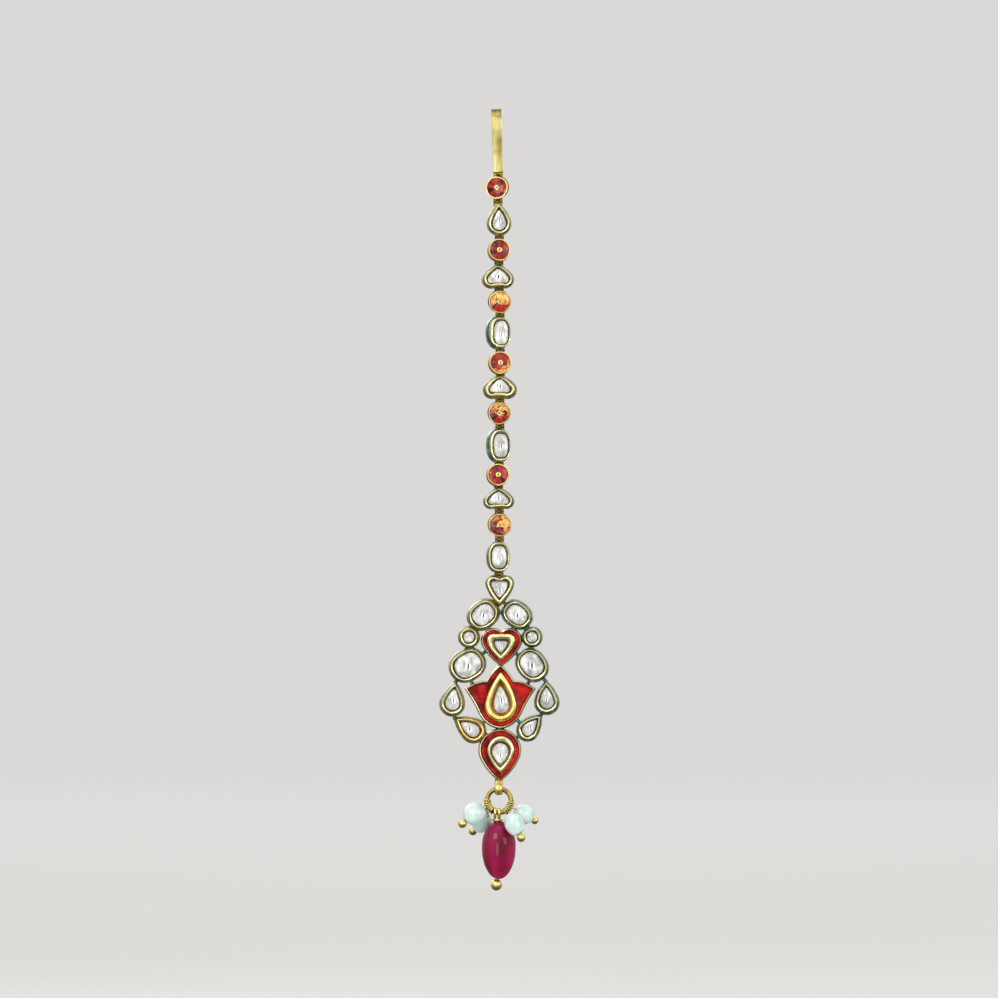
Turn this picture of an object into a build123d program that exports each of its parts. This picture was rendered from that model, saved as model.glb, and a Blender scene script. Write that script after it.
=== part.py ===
from build123d import *
import os
from collections import namedtuple
from math import acos, atan2, cos, hypot, radians, sin

# Maang tikka: a hair hook, a run of fourteen hinged stone settings, a soldered pendant and a bead drop.
# Millimetres. +X right, +Z up, the face of the jewel looks along -Y.
# The origin is the inside of the hook's bend, where the jewel hangs.

os.makedirs("parts", exist_ok=True)

# depths: every setting stands on one back plane and rises from it towards -Y
back_y = 0.2
wall_height = 1.6
rim_height = 2.0
rim_step = 0.16
rim_slope = 0.14
stone_floor = 1.05
stone_gap = 0.05
stone_girdle = 0.45
stone_crown = 0.4
table_share = 0.62
side_swell = 16
pendant_flare = 0.3

# a pointed shape's lobes end here where they don't meet: a heart dips between them, a shield is almost flat
lobe_end = {"heart": -140, "shield": -100}

# the hinges behind the settings: a knuckle on the upper piece, ears and a pin on the lower one
axis_y = back_y + 0.95
knuckle_radius = 0.6
knuckle_hole = 0.33
knuckle_width = 1.0
ear_radius = 0.5
ear_width = 0.28
ear_gap = 0.08
pin_radius = 0.2
web_reach = 2.3
web_start = 1.2
web_bite = 0.3
web_foot = 0.4

# round links: a drum with a wider collar round its back, and a rivet through the stone
drum_collar = 0.5
drum_step = 0.12
drum_wall = 0.3
rivet_radius = 0.5
rivet_proud = 0.05
root = 0.1

# hair hook: a flat strip over the hair, sprung legs, lower end curled round the first hinge pin
strip_width = 1.85
strip_thickness = 0.45
hook_inner_radius = 1.8
hook_back_length = 9.24
hook_front_end = -12.1
hook_flare = 0.35
hook_flare_length = 1.6
hook_bend_radius = 0.7
curl_start = -0.7
curl_radius = 0.575
curl_turn = 250
hook_x = -0.52
hook_lean = 1.8

# drop: ring in the bail, ruby and pearls on looped pins
drop_y = -0.45
ring_wire = 0.37
ring_radius = 2.27
bail_hole = 0.6
bail_radius = 1.15
bail_width = 1.56
bail_neck = 1.1
bail_rise = 1.85
bail_x = -0.05
ring_z = -130.97
bail_z = ring_z + ring_radius
bead_hole = 0.3
pearl_wire = 0.18
ruby_wire = 0.22
ruby_slack = 0.32
wrap_clearance = 0.08
wrap_pitch = 1.8 * pearl_wire
pearl_neck = 0.25

# ruby bead: radius and height below its top, at the places where its outline changes
ruby_top = -134.95
ruby_height = 10.85
ruby_outline = (
    (0.95, 0),
    (2.2, 1.15),
    (3.0, 2.8),
    (3.18, 5.0),
    (2.72, 7.4),
    (1.46, 9.9),
    (0.55, ruby_height),
)
ruby_x = -0.05
ruby_pin_top = -0.3
ruby_pin_foot = -0.5
ruby_turns = (-0.76, 0.04)
ruby_ball = 1.1
ball_gap = 0.03
ruby_ball_z = ruby_top - ruby_height - ruby_ball - ball_gap
ruby_collar = 0.72

Setting = namedtuple("Setting", "shape x z r spread tip roll yaw pitch")
Outline = namedtuple("Outline", "shape x z r spread tip roll")

# the round links, top to bottom: place, radius and how each one leans
round_links = (
    Setting("round", -0.44, -14.56, 2.13, 0, 0, 0, -7, 6),
    Setting("round", 0.10, -26.34, 2.13, 0, 0, 0, 7, -6),
    Setting("round", 0.22, -36.30, 2.17, 0, 0, 0, 6, 6),
    Setting("round", 0.28, -47.72, 2.15, 0, 0, 0, 7, -6),
    Setting("round", 0.13, -57.41, 2.15, 0, 0, 0, 6, 6),
    Setting("round", -0.13, -69.02, 2.12, 0, 0, 0, 6, -5),
    Setting("round", 0.19, -78.62, 2.2, 0, 0, 0, 6, 6),
)

# the polki links between them: r is the round end's or lobes' radius, or half the width of an oval,
# whose tip is half its height
polki_links = (
    Setting("pear", 0.05, -21.3, 2.23, 0, 3.85, 2, 2, 0),
    Setting("heart", -0.19, -31.96, 1.6, 1.345, 2.84, 1, 1, 0),
    Setting("oval", 0.14, -42.06, 2.25, 0, 3.05, 0, 12, 0),
    Setting("heart", 0.19, -52.9, 1.65, 1.485, 2.78, 0, 1, 0),
    Setting("oval", 0.2, -63.49, 2.2, 0, 3.2, 0, 13, 0),
    Setting("heart", -0.09, -74.1, 1.35, 1.5, 2.66, 1, -1, 0),
    Setting("oval", 0.0, -84.67, 2.2, 0, 3.02, 0, 10, 0),
)

# their stones: the same shapes, smaller, on the same centres
polki_cuts = (
    Outline("pear", 0, 0, 1.36, 0, 2.75, 0),
    Outline("heart", 0, 0, 0.8, 1.3, 2.15, 0),
    Outline("oval", 0, 0, 1.45, 0, 2.35, 0),
    Outline("heart", 0, 0, 0.62, 1.38, 2.15, 0),
    Outline("oval", 0, 0, 1.5, 0, 2.36, 0),
    Outline("heart", 0, 0, 0.62, 1.4, 2.05, 0),
    Outline("oval", 0, 0, 1.5, 0, 2.2, 0),
)

# pendant settings and the stone in each: an oval's roll is the slope of its long axis,
# a pointed shape's roll turns its tip from straight up
pendant_settings = {
    "top_heart": Outline("heart", 0.0, -89.69, 1.6, 1.155, 3.9, 180),
    "upper_oval_left": Outline("oval", -2.95, -95.6, 3.0, 0, 2.4, 40),
    "upper_oval_right": Outline("oval", 3.42, -95.6, 2.85, 0, 2.25, -38),
    "small_round_left": Outline("round", -5.7, -99.87, 1.9, 0, 0, 0),
    "small_round_right": Outline("round", 6.27, -99.87, 1.82, 0, 0, 0),
    "large_oval_left": Outline("oval", -5.98, -105.19, 3.45, 0, 2.88, 33),
    "large_oval_right": Outline("oval", 6.27, -105.19, 3.2, 0, 2.65, -50),
    "outer_pear_left": Outline("pear", -8.9, -112.55, 2.25, 0, 4.1, -8.9),
    "outer_pear_right": Outline("pear", 9.07, -112.27, 2.23, 0, 4.08, 3.3),
    "lower_pear_left": Outline("pear", -4.85, -117.65, 2.25, 0, 4.25, 56.5),
    "lower_pear_right": Outline("pear", 5.45, -117.55, 2.0, 0, 3.8, -41.6),
}
pendant_cuts = {
    "top_heart": Outline("heart", 0.05, -89.8, 0.66, 1.0, 2.55, 180),
    "upper_oval_left": Outline("oval", -3.0, -95.6, 2.2, 0, 1.85, 40),
    "upper_oval_right": Outline("oval", 3.42, -95.6, 2.1, 0, 1.7, -38),
    "small_round_left": Outline("round", -5.7, -99.87, 1.08, 0, 0, 0),
    "small_round_right": Outline("round", 6.27, -99.87, 1.05, 0, 0, 0),
    "large_oval_left": Outline("oval", -5.9, -105.19, 2.65, 0, 2.2, 33),
    "large_oval_right": Outline("oval", 6.2, -105.05, 2.45, 0, 2.0, -50),
    "outer_pear_left": Outline("pear", -8.85, -112.4, 1.42, 0, 2.9, -8.9),
    "outer_pear_right": Outline("pear", 9.1, -112.1, 1.38, 0, 2.9, 3.3),
    "lower_pear_left": Outline("pear", -4.9, -117.6, 1.3, 0, 3.0, 56.5),
    "lower_pear_right": Outline("pear", 5.5, -117.45, 1.2, 0, 2.65, -41.6),
    "heart_centre": Outline("shield", 0.38, -101.0, 0.45, 0.76, 1.9, 180),
    "tulip_centre": Outline("pear", 0.45, -112.85, 1.5, 0, 3.95, 3),
    "pear_centre": Outline("pear", 0.25, -121.55, 1.6, 0, 2.6, 180),
}

# the enamelled forms: the outer tray, and the gold setting that stands in its middle
tray_height = 1.3
tray_rim = 0.3
enamel_floor = 0.85
enamel_top = 1.22
enamel_gap = 0.05
centre_height = 1.9
heart_tray = Outline("heart", 0.475, -100.5, 2.15, 1.55, 4.65, 180)
heart_shield = Outline("shield", 0.38, -100.4, 1.25, 1.5, 3.95, 180)
tulip_drop = Outline("pear", 0.33, -112.93, 3.05, 0, 6.6, 0)
pear_tray = Outline("pear", 0.14, -121.3, 3.83, 0, 5.8, 180)
pear_shield = Outline("pear", 0.35, -121.2, 2.6, 0, 4.6, 180)

# the tulip tray: half width and height, from its top point down to its foot, in four arcs:
# the middle petal, the top of a wing, and its outer side down to the foot
tulip_x = 0.22
tulip_z = -111.0
tulip_inner = 0.94
tulip_fill = 0.93
tulip_flare = 1.05
tulip_half = (
    (0.0, -105.2),
    (1.4, -106.55),
    (2.5, -108.25),
    (4.6, -108.62),
    (6.6, -109.7),
    (5.15, -111.84),
    (4.0, -114.1),
    (2.4, -116.2),
    (0.0, -117.12),
)

# solder joints: neighbours that meet, joined across their narrowest gap
solder_width = 0.75
solder_low = 0.3
solder_high = 1.15
solder_spots = {
    "heart_tip": (0.1, -93.0),
    "heart": (0.475, -101.2),
    "tulip": (0.33, -111.5),
    "wing_left": (-4.6, -109.5),
    "wing_right": (5.1, -109.5),
    "pear_tip_left": (-8.25, -109.6),
    "pear_tip_right": (8.85, -109.4),
    "pear": (0.2, -121.0),
}
solder_pairs = (
    ("heart_tip", "upper_oval_left"),
    ("heart_tip", "upper_oval_right"),
    ("upper_oval_left", "upper_oval_right"),
    ("upper_oval_left", "small_round_left"),
    ("upper_oval_right", "small_round_right"),
    ("upper_oval_left", "heart"),
    ("upper_oval_right", "heart"),
    ("small_round_left", "large_oval_left"),
    ("small_round_right", "large_oval_right"),
    ("large_oval_left", "heart"),
    ("large_oval_right", "heart"),
    ("large_oval_left", "pear_tip_left"),
    ("large_oval_right", "pear_tip_right"),
    ("large_oval_left", "wing_left"),
    ("large_oval_right", "wing_right"),
    ("outer_pear_left", "lower_pear_left"),
    ("outer_pear_right", "lower_pear_right"),
    ("lower_pear_left", "tulip"),
    ("lower_pear_right", "tulip"),
    ("lower_pear_left", "pear"),
    ("lower_pear_right", "pear"),
    ("heart", "tulip"),
    ("tulip", "pear"),
)

# pearls: where each pin loops round the ring (angle from straight down, clockwise seen from the front),
# the pearl's centre, its long and cross half sizes, the way its pin points, and its ball
Pearl = namedtuple("Pearl", "angle x y z long cross aim_x aim_y aim_z ball")
pearls = (
    Pearl(80, -4.7, -0.9, -133.35, 2.3, 2.15, -0.74, -0.27, -0.62, 0.82),
    Pearl(50, -3.3, 2.85, -135.25, 2.1, 1.92, -0.59, 0.52, -0.60, 0.8),
    Pearl(-82, 4.78, 1.5, -133.55, 2.1, 2.03, 0.74, 0.48, -0.47, 0.72),
    Pearl(-50, 2.9, -3.15, -135.25, 2.25, 1.9, 0.44, -0.25, -0.86, 0.8),
)


def facing(x, z, roll=0, yaw=0, pitch=0):
    """The back plane of a setting whose front is centred on x and z: local x right, local y up.
    Yaw turns the face right, pitch turns it down, and roll turns it anticlockwise."""
    turn, dip, lean = radians(yaw), radians(pitch), radians(roll)
    out = Vector(sin(turn) * cos(dip), -cos(turn) * cos(dip), -sin(dip))
    right = Vector(cos(turn), sin(turn), 0)
    x_dir = right * cos(lean) + out.cross(right) * sin(lean)
    front = Vector(x, back_y - rim_height, z)
    return Plane(origin=front - out * rim_height, x_dir=x_dir, z_dir=out)


def flank(r, spread, tip):
    """The swelling side between the tip and the round end: its centre, radius and last angle.
    It meets the round end's arc without a corner."""
    reach = hypot(spread, tip)
    angle = atan2(tip, -spread) - acos(r / reach) - radians(side_swell)
    along = -spread * cos(angle) + tip * sin(angle)
    radius = (reach**2 - 2 * r * along + r**2) / (2 * (r - along))
    return spread + (r - radius) * cos(angle), (r - radius) * sin(angle), radius, angle


def half_outline(shape, r, spread, tip, inset):
    """Right half of a pointed outline: the tip, the flank, then the round end's or lobe's arc.
    Each arc is given by its centre, radius, first and last angle."""
    centre_x, centre_y, radius, meet = flank(r, spread, tip)
    radius -= inset
    r -= inset
    start = acos(-centre_x / radius)
    end = acos(spread / r) - radians(180) if spread < r else radians(lobe_end[shape])
    return (
        (centre_x, centre_y, radius, start, meet),
        (spread, 0, r, meet, end),
    )


def on_arc(arc, share):
    x, y, radius, start, end = arc
    angle = start + (end - start) * share
    return x + radius * cos(angle), y + radius * sin(angle)


def draw(shape, r, spread, tip, inset=0):
    """Adds an outline to the open sketch, its round end or lobes on the origin and its tip up."""
    if shape == "round":
        Circle(r - inset)
    elif shape == "oval":
        Ellipse(r - inset, tip - inset)
    else:
        side, lobe = half_outline(shape, r, spread, tip, inset)
        point = (0, on_arc(side, 0)[1])
        foot = (0 if spread < r - inset else on_arc(lobe, 1)[0], on_arc(lobe, 1)[1])
        with BuildLine() as edge:
            ThreePointArc(point, on_arc(side, 0.5), on_arc(side, 1))
            ThreePointArc(on_arc(side, 1), on_arc(lobe, 0.5), foot)
            if foot[0]:
                Line(foot, (0, foot[1]))
            mirror(about=Plane.YZ)
        make_face(edge.edges())


def corners(shape, r, spread, tip, grow=0, sides=12):
    """The same outline as straight edges, for a cut stone or, grown by its gap, for the cup."""
    if shape in ("round", "oval"):
        high = (r if shape == "round" else tip) + grow
        r += grow
        steps = [radians(360 * (n + 0.5) / sides) for n in range(sides)]
        return [(r * cos(a), high * sin(a)) for a in steps]
    side, lobe = half_outline(shape, r, spread, tip, -grow)
    tip = on_arc(side, 0)[1]
    right = [on_arc(side, 0.5)] + [on_arc(lobe, n / 4) for n in range(5)]
    if spread < r:
        right[-1] = (0, right[-1][1])
    left = [(-u, v) for u, v in reversed(right) if u]
    return [(0, tip)] + right + left


def cut_stone(plane, points, floor):
    """Adds a cut stone: a straight girdle, then a ring of facets up to its table."""
    middle = sum(v for _, v in points) / len(points)
    table = [(u * table_share, middle + (v - middle) * table_share) for u, v in points]
    with BuildSketch(plane.offset(floor)) as under:
        Polygon(*points, align=None)
    extrude(under.sketch, amount=stone_girdle)
    with BuildSketch(plane.offset(floor + stone_girdle)) as girdle:
        Polygon(*points, align=None)
    with BuildSketch(plane.offset(floor + stone_girdle + stone_crown)) as top:
        Polygon(*table, align=None)
    loft([girdle.sketch, top.sketch], ruled=True)


def rise(plane, row, flare, height):
    """Adds a setting's walls, wider at the back by the flare."""
    with BuildSketch(plane) as back:
        draw(row.shape, row.r, row.spread, row.tip, -flare)
    with BuildSketch(plane.offset(height)) as top:
        draw(row.shape, row.r, row.spread, row.tip)
    loft([back.sketch, top.sketch], ruled=True)


def raise_box(plane, row, flare=0):
    """Adds a box setting: its walls, then a narrower rim that slopes in to the front."""
    rise(plane, row, flare, wall_height)
    with BuildSketch(plane.offset(wall_height)) as rim_foot:
        draw(row.shape, row.r, row.spread, row.tip, rim_step)
    with BuildSketch(plane.offset(rim_height)) as rim_top:
        draw(row.shape, row.r, row.spread, row.tip, rim_step + rim_slope)
    loft([rim_foot.sketch, rim_top.sketch], ruled=True)


def web(z, way, radius):
    """Adds a hinge's side view to the open sketch: its round end, and the web that carries it."""
    with Locations((axis_y, z)):
        Circle(radius)
    Polygon(
        (axis_y + radius, z),
        (back_y + web_foot, z + way * web_reach),
        (back_y - web_bite, z + way * web_reach),
        (back_y - web_bite, z + way * web_start),
        (axis_y - radius, z),
        align=None,
    )


def knuckle(x, z):
    """Adds the upper piece's half of a hinge at height z: a drilled knuckle on a web up its back."""
    with BuildSketch(Plane.YZ.offset(x)) as side:
        web(z, 1, knuckle_radius)
        with Locations((axis_y, z)):
            Circle(knuckle_hole, mode=Mode.SUBTRACT)
    extrude(side.sketch, amount=knuckle_width / 2, both=True)


def ears(x, z, half_width):
    """Adds the lower piece's half: two ears that clasp the knuckle, and the pin between them."""
    for way in (-1, 1):
        middle = x + way * (half_width + ear_gap + ear_width / 2)
        with BuildSketch(Plane.YZ.offset(middle)) as side:
            web(z, -1, ear_radius)
        extrude(side.sketch, amount=ear_width / 2, both=True)
    with BuildSketch(Plane.YZ.offset(x)) as section:
        with Locations((axis_y, z)):
            Circle(pin_radius)
    extrude(section.sketch, amount=half_width + ear_gap + ear_width / 2, both=True)


def keep(builder, name):
    builder.part.label = name
    export_step(builder.part, f"parts/{name}.step")


def make_hook():
    """Hair hook: sprung back leg, bend, front leaf, then the curl round the first hinge pin."""
    middle = hook_inner_radius + strip_thickness / 2
    foot = hook_front_end + strip_thickness / 2
    curl_room = axis_y + 2 * curl_radius - curl_start
    lean = radians(hook_lean)
    plane = Plane(origin=(hook_x, 0, 0), x_dir=(0, 1, 0), z_dir=(cos(lean), 0, sin(lean)))
    leaf_foot = foot + hook_bend_radius
    curl_centre = (axis_y, foot - curl_radius)
    with BuildPart() as hook:
        with BuildSketch(plane.offset(-strip_width / 2)):
            with BuildLine():
                knee = (middle - hook_flare, hook_flare_length - hook_back_length)
                Line((middle + hook_flare, -hook_back_length), knee)
                Line(knee, (middle, -hook_inner_radius))
                ThreePointArc(
                    (middle, -hook_inner_radius), (0, strip_thickness / 2), (-middle, -hook_inner_radius)
                )
                Line((-middle, -hook_inner_radius), (-middle, leaf_foot))
                CenterArc((-middle + hook_bend_radius, leaf_foot), hook_bend_radius, 180, 90)
                Line((-middle + hook_bend_radius, foot), (axis_y, foot))
                CenterArc(curl_centre, curl_radius, 90, -curl_turn)
            trace(line_width=strip_thickness)
        extrude(amount=strip_width)
        # the curl is narrower than the leaf
        for way in (-1, 1):
            with BuildSketch(plane.offset(way * strip_width)):
                with Locations((curl_start, foot + strip_thickness)):
                    Rectangle(curl_room, curl_room, align=(Align.MIN, Align.MAX))
            extrude(amount=way * (knuckle_width / 2 - strip_width), mode=Mode.SUBTRACT)
    keep(hook, "hair_hook")
    return curl_centre[1]


def make_round_link(number, link, hinge_above, hinge_below):
    """Round link: a drum with a back collar, a cup for the stone and a rivet through its middle."""
    cup = link.r - drum_wall
    base = facing(link.x, link.z, 0, link.yaw, link.pitch)
    with BuildPart() as drum:
        with BuildSketch(base):
            Circle(link.r)
        extrude(amount=drum_collar)
        with BuildSketch(base.offset(drum_collar)):
            Circle(link.r - drum_step)
        extrude(amount=rim_height - drum_collar)
        with BuildSketch(base.offset(stone_floor)):
            Circle(cup)
        extrude(amount=rim_height, mode=Mode.SUBTRACT)
        with BuildSketch(base.offset(stone_floor - root)):
            Circle(rivet_radius)
        extrude(amount=rim_height - stone_floor + rivet_proud)
        ears(*hinge_above)
        knuckle(*hinge_below)
    keep(drum, f"round_setting_{number}")

    with BuildPart() as stone:
        cut_stone(base, corners("round", cup - stone_gap, 0, 0), stone_floor + stone_gap)
        with BuildSketch(base):
            Circle(rivet_radius + stone_gap)
        extrude(amount=2 * rim_height, mode=Mode.SUBTRACT)
    keep(stone, f"round_stone_{number}")


def make_polki_link(number, link, cut, hinge_above, hinge_below):
    """Polki link: a deep box with a narrower gold rim, and a flat-cut stone sunk in it."""
    base = facing(link.x, link.z, link.roll, link.yaw, link.pitch)
    with BuildPart() as box:
        raise_box(base, link)
        with BuildSketch(base.offset(stone_floor)):
            Polygon(*corners(cut.shape, cut.r, cut.spread, cut.tip, stone_gap), align=None)
        extrude(amount=rim_height, mode=Mode.SUBTRACT)
        ears(*hinge_above)
        knuckle(*hinge_below)
    keep(box, f"polki_setting_{number}")

    with BuildPart() as stone:
        cut_stone(base, corners(cut.shape, cut.r, cut.spread, cut.tip), stone_floor + stone_gap)
    keep(stone, f"polki_stone_{number}")


def tulip(share):
    """Adds the tulip's outline to the open sketch, drawn in to a share of its size."""
    half = [(u * share, tulip_z + (v - tulip_z) * share) for u, v in tulip_half]
    with BuildLine() as edge:
        for first in (0, 2, 4, 6):
            ThreePointArc(*half[first:first + 3])
        mirror(about=Plane.YZ)
    make_face(edge.edges())


def place(outline):
    return facing(outline.x, outline.z, outline.roll)


def drop_plane(x, z):
    """The plane of the drop's ring and bead, seen from the front: local x right, local y up."""
    return Plane(origin=(x, drop_y, z), x_dir=(1, 0, 0), z_dir=(0, -1, 0))


def make_pendant(hinge_above):
    """The soldered pendant: eleven box settings, three enamel trays, solder joints, ears and bail."""
    spots = {name: (row.x, row.z) for name, row in pendant_settings.items()}
    spots.update(solder_spots)
    face = Plane(origin=(0, back_y, 0), x_dir=(1, 0, 0), z_dir=(0, -1, 0))
    leaf = Plane(origin=(tulip_x, back_y, 0), x_dir=(1, 0, 0), z_dir=(0, -1, 0))
    with BuildPart() as frame:
        # box settings
        for row in pendant_settings.values():
            raise_box(place(row), row, pendant_flare)
        # enamel trays
        for row in (heart_tray, pear_tray):
            rise(place(row), row, pendant_flare, tray_height)
        with BuildSketch(leaf) as back:
            tulip(tulip_flare)
        with BuildSketch(leaf.offset(tray_height)) as top:
            tulip(1)
        loft([back.sketch, top.sketch], ruled=True)
        # solder joints
        with BuildSketch(face.offset(solder_low)):
            for one, other in solder_pairs:
                with BuildLine():
                    Line(spots[one], spots[other])
                trace(line_width=solder_width)
        extrude(amount=solder_high - solder_low)
        # hollows for the enamel
        for row in (heart_tray, pear_tray):
            with BuildSketch(place(row).offset(enamel_floor)):
                draw(row.shape, row.r, row.spread, row.tip, tray_rim)
            extrude(amount=tray_height, mode=Mode.SUBTRACT)
        with BuildSketch(leaf.offset(enamel_floor)):
            tulip(tulip_inner)
        extrude(amount=tray_height, mode=Mode.SUBTRACT)
        # settings that stand in the enamel
        for row in (heart_shield, tulip_drop, pear_shield):
            with BuildSketch(place(row).offset(enamel_floor - root)):
                draw(row.shape, row.r, row.spread, row.tip)
            extrude(amount=centre_height - enamel_floor + root)
        # cups for the stones
        for row in pendant_cuts.values():
            with BuildSketch(place(row).offset(stone_floor)):
                Polygon(*corners(row.shape, row.r, row.spread, row.tip, stone_gap), align=None)
            extrude(amount=rim_height, mode=Mode.SUBTRACT)
        ears(*hinge_above)
        # bail: a barrel across the jewel, drilled for the ring, on a short neck
        with BuildSketch(drop_plane(bail_x, bail_z)) as barrel:
            Ellipse(bail_width / 2, bail_radius)
            Rectangle(bail_width, bail_radius, align=(Align.CENTER, Align.MAX), mode=Mode.SUBTRACT)
        revolve(barrel.sketch, axis=Axis((bail_x, drop_y, bail_z), (1, 0, 0)))
        with BuildSketch(Plane(origin=(bail_x, drop_y, bail_z))):
            Rectangle(bail_neck, bail_neck)
        extrude(amount=bail_rise)
        with BuildSketch(Plane.YZ.offset(bail_x)):
            with Locations((drop_y, bail_z)):
                Circle(bail_hole)
        extrude(amount=bail_width, both=True, mode=Mode.SUBTRACT)
    keep(frame, "pendant_frame")


def make_enamels():
    """The three enamel fills: each tray's floor less the setting that stands in it."""
    leaf = Plane(origin=(tulip_x, back_y, 0), x_dir=(1, 0, 0), z_dir=(0, -1, 0))
    low = enamel_floor + enamel_gap
    for name, tray, shield in (
        ("heart_enamel", heart_tray, heart_shield),
        ("tulip_enamel", None, tulip_drop),
        ("pear_enamel", pear_tray, pear_shield),
    ):
        with BuildPart() as fill:
            if tray:
                with BuildSketch(place(tray).offset(low)):
                    draw(tray.shape, tray.r, tray.spread, tray.tip, tray_rim + enamel_gap)
            else:
                with BuildSketch(leaf.offset(low)):
                    tulip(tulip_fill)
            extrude(amount=enamel_top - low)
            with BuildSketch(place(shield).offset(low - root)):
                draw(shield.shape, shield.r, shield.spread, shield.tip, -enamel_gap)
            extrude(amount=enamel_top, mode=Mode.SUBTRACT)
        keep(fill, name)


def make_pendant_stones():
    for name, row in pendant_cuts.items():
        with BuildPart() as stone:
            cut_stone(place(row), corners(row.shape, row.r, row.spread, row.tip), stone_floor + stone_gap)
        keep(stone, f"{name}_stone")


def make_ring():
    with BuildPart(drop_plane(0, ring_z)) as ring:
        Torus(ring_radius, ring_wire)
    keep(ring, "drop_ring")


def pin_slant():
    """The ruby pin's line: the middle of its top and the way it runs down."""
    top = Vector(ruby_pin_top, drop_y, ruby_top)
    foot = Vector(ruby_pin_foot, drop_y, ruby_ball_z)
    return top, foot


def make_ruby():
    """Ruby bead: a long smooth drop, wider at the middle, drilled slightly off its axis."""
    top, foot = pin_slant()
    way = foot - top
    with BuildPart() as bead:
        with BuildSketch(drop_plane(ruby_x, ruby_top)):
            with BuildLine():
                Spline(*[(r, -low) for r, low in ruby_outline])
                Line((ruby_outline[-1][0], -ruby_height), (0, -ruby_height))
                Line((0, -ruby_height), (0, 0))
                Line((0, 0), (ruby_outline[0][0], 0))
            make_face()
        revolve(axis=Axis((ruby_x, drop_y, ruby_top), (0, 0, 1)))
        with BuildSketch(Plane(origin=top - way * root, z_dir=way)):
            Circle(bead_hole)
        extrude(amount=2 * way.length, mode=Mode.SUBTRACT)
    keep(bead, "ruby_bead")

    loop = ring_wire + ruby_slack + ruby_wire
    ring_foot = ring_z - ring_radius
    collar_z = ruby_top + ruby_wire + ball_gap
    with BuildPart() as pin:
        for x in ruby_turns:
            with Locations(Plane(origin=(x, drop_y, ring_foot), x_dir=(0, 1, 0), z_dir=(1, 0, 0))):
                Torus(loop, ruby_wire)
            with BuildSketch(Plane(origin=(x, drop_y, ring_foot - loop), z_dir=(0, 0, -1))):
                Circle(ruby_wire)
            extrude(amount=ring_foot - loop - collar_z)
        with Locations(Plane(origin=(ruby_pin_top, drop_y, collar_z), z_dir=(0, 0, 1))):
            Cylinder(ruby_collar, 2 * ruby_wire)
        with BuildSketch(Plane(origin=top + Vector(0, 0, root), z_dir=way)):
            Circle(ruby_wire)
        extrude(amount=way.length)
        with Locations((ruby_pin_foot, drop_y, ruby_ball_z)):
            Sphere(ruby_ball)
    keep(pin, "ruby_pin")


def make_pearl(number, pearl):
    """A pearl drilled along its length, and its pin: ball, stem and two turns round the ring."""
    centre = Vector(pearl.x, drop_y + pearl.y, pearl.z)
    aim = Vector(pearl.aim_x, pearl.aim_y, pearl.aim_z).normalized()
    # half the outline, without the hole, revolved about the pin's line
    section = Plane(origin=centre, x_dir=aim, z_dir=Plane(origin=centre, z_dir=aim).x_dir)
    with BuildPart() as bead:
        with BuildSketch(section):
            Ellipse(pearl.long, pearl.cross)
            with Locations((0, bead_hole - pearl.cross)):
                Rectangle(3 * pearl.long, 2 * pearl.cross, mode=Mode.SUBTRACT)
        revolve(axis=Axis(centre, aim))
    keep(bead, f"pearl_{number}")

    turn = radians(pearl.angle)
    spot = Vector(-sin(turn), 0, -cos(turn))
    around = Vector(-cos(turn), 0, sin(turn))
    wrap_centre = Vector(0, drop_y, ring_z) + spot * ring_radius
    loop = ring_wire + wrap_clearance + pearl_wire
    neck = centre - aim * (pearl.long + pearl_neck)
    foot = centre + aim * (pearl.long + pearl.ball + ball_gap)
    to_neck = neck - wrap_centre
    to_neck = (to_neck - around * to_neck.dot(around)).normalized()
    start = wrap_centre + to_neck * loop
    with BuildPart() as pin:
        for step in (-0.5, 0.5):
            with Locations(Plane(origin=wrap_centre + around * step * wrap_pitch, z_dir=around)):
                Torus(loop, pearl_wire)
        for one, other in ((start, neck), (neck, foot)):
            with BuildSketch(Plane(origin=one, z_dir=other - one)):
                Circle(pearl_wire)
            extrude(amount=(other - one).length)
        with Locations(neck):
            Sphere(pearl_wire)
        with Locations(foot):
            Sphere(pearl.ball)
    keep(pin, f"pearl_pin_{number}")


def lower_end(link):
    """How far a link's outline reaches below its centre."""
    return link.z - (link.tip if link.shape == "oval" else link.r)


def upper_end(link):
    return link.z + (link.r if link.shape == "round" else link.tip)


def main():
    curl_z = make_hook()
    chain = [link for pair in zip(round_links, polki_links) for link in pair]
    top = pendant_settings["top_heart"]
    hinges = [(hook_x - sin(radians(hook_lean)) * curl_z, curl_z, knuckle_width / 2)]
    for above, below in zip(chain, chain[1:]):
        z = (lower_end(above) + upper_end(below)) / 2
        hinges.append(((above.x + below.x) / 2, z, knuckle_width / 2))
    z = (lower_end(chain[-1]) + top.z + top.r) / 2
    hinges.append((0, z, knuckle_width / 2))
    for number in range(7):
        above, middle, below = hinges[2 * number:2 * number + 3]
        make_round_link(number + 1, round_links[number], above, middle[:2])
        make_polki_link(number + 1, polki_links[number], polki_cuts[number], middle, below[:2])
    make_pendant(hinges[-1])
    make_enamels()
    make_pendant_stones()
    make_ring()
    make_ruby()
    for number, pearl in enumerate(pearls, 1):
        make_pearl(number, pearl)
    print("pendant hinge height", round(hinges[-1][1], 3), "drop hinge height", round(bail_z, 3))


main()
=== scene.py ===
import math
import bmesh
import bpy
from mathutils import Matrix, Vector, noise


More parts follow.
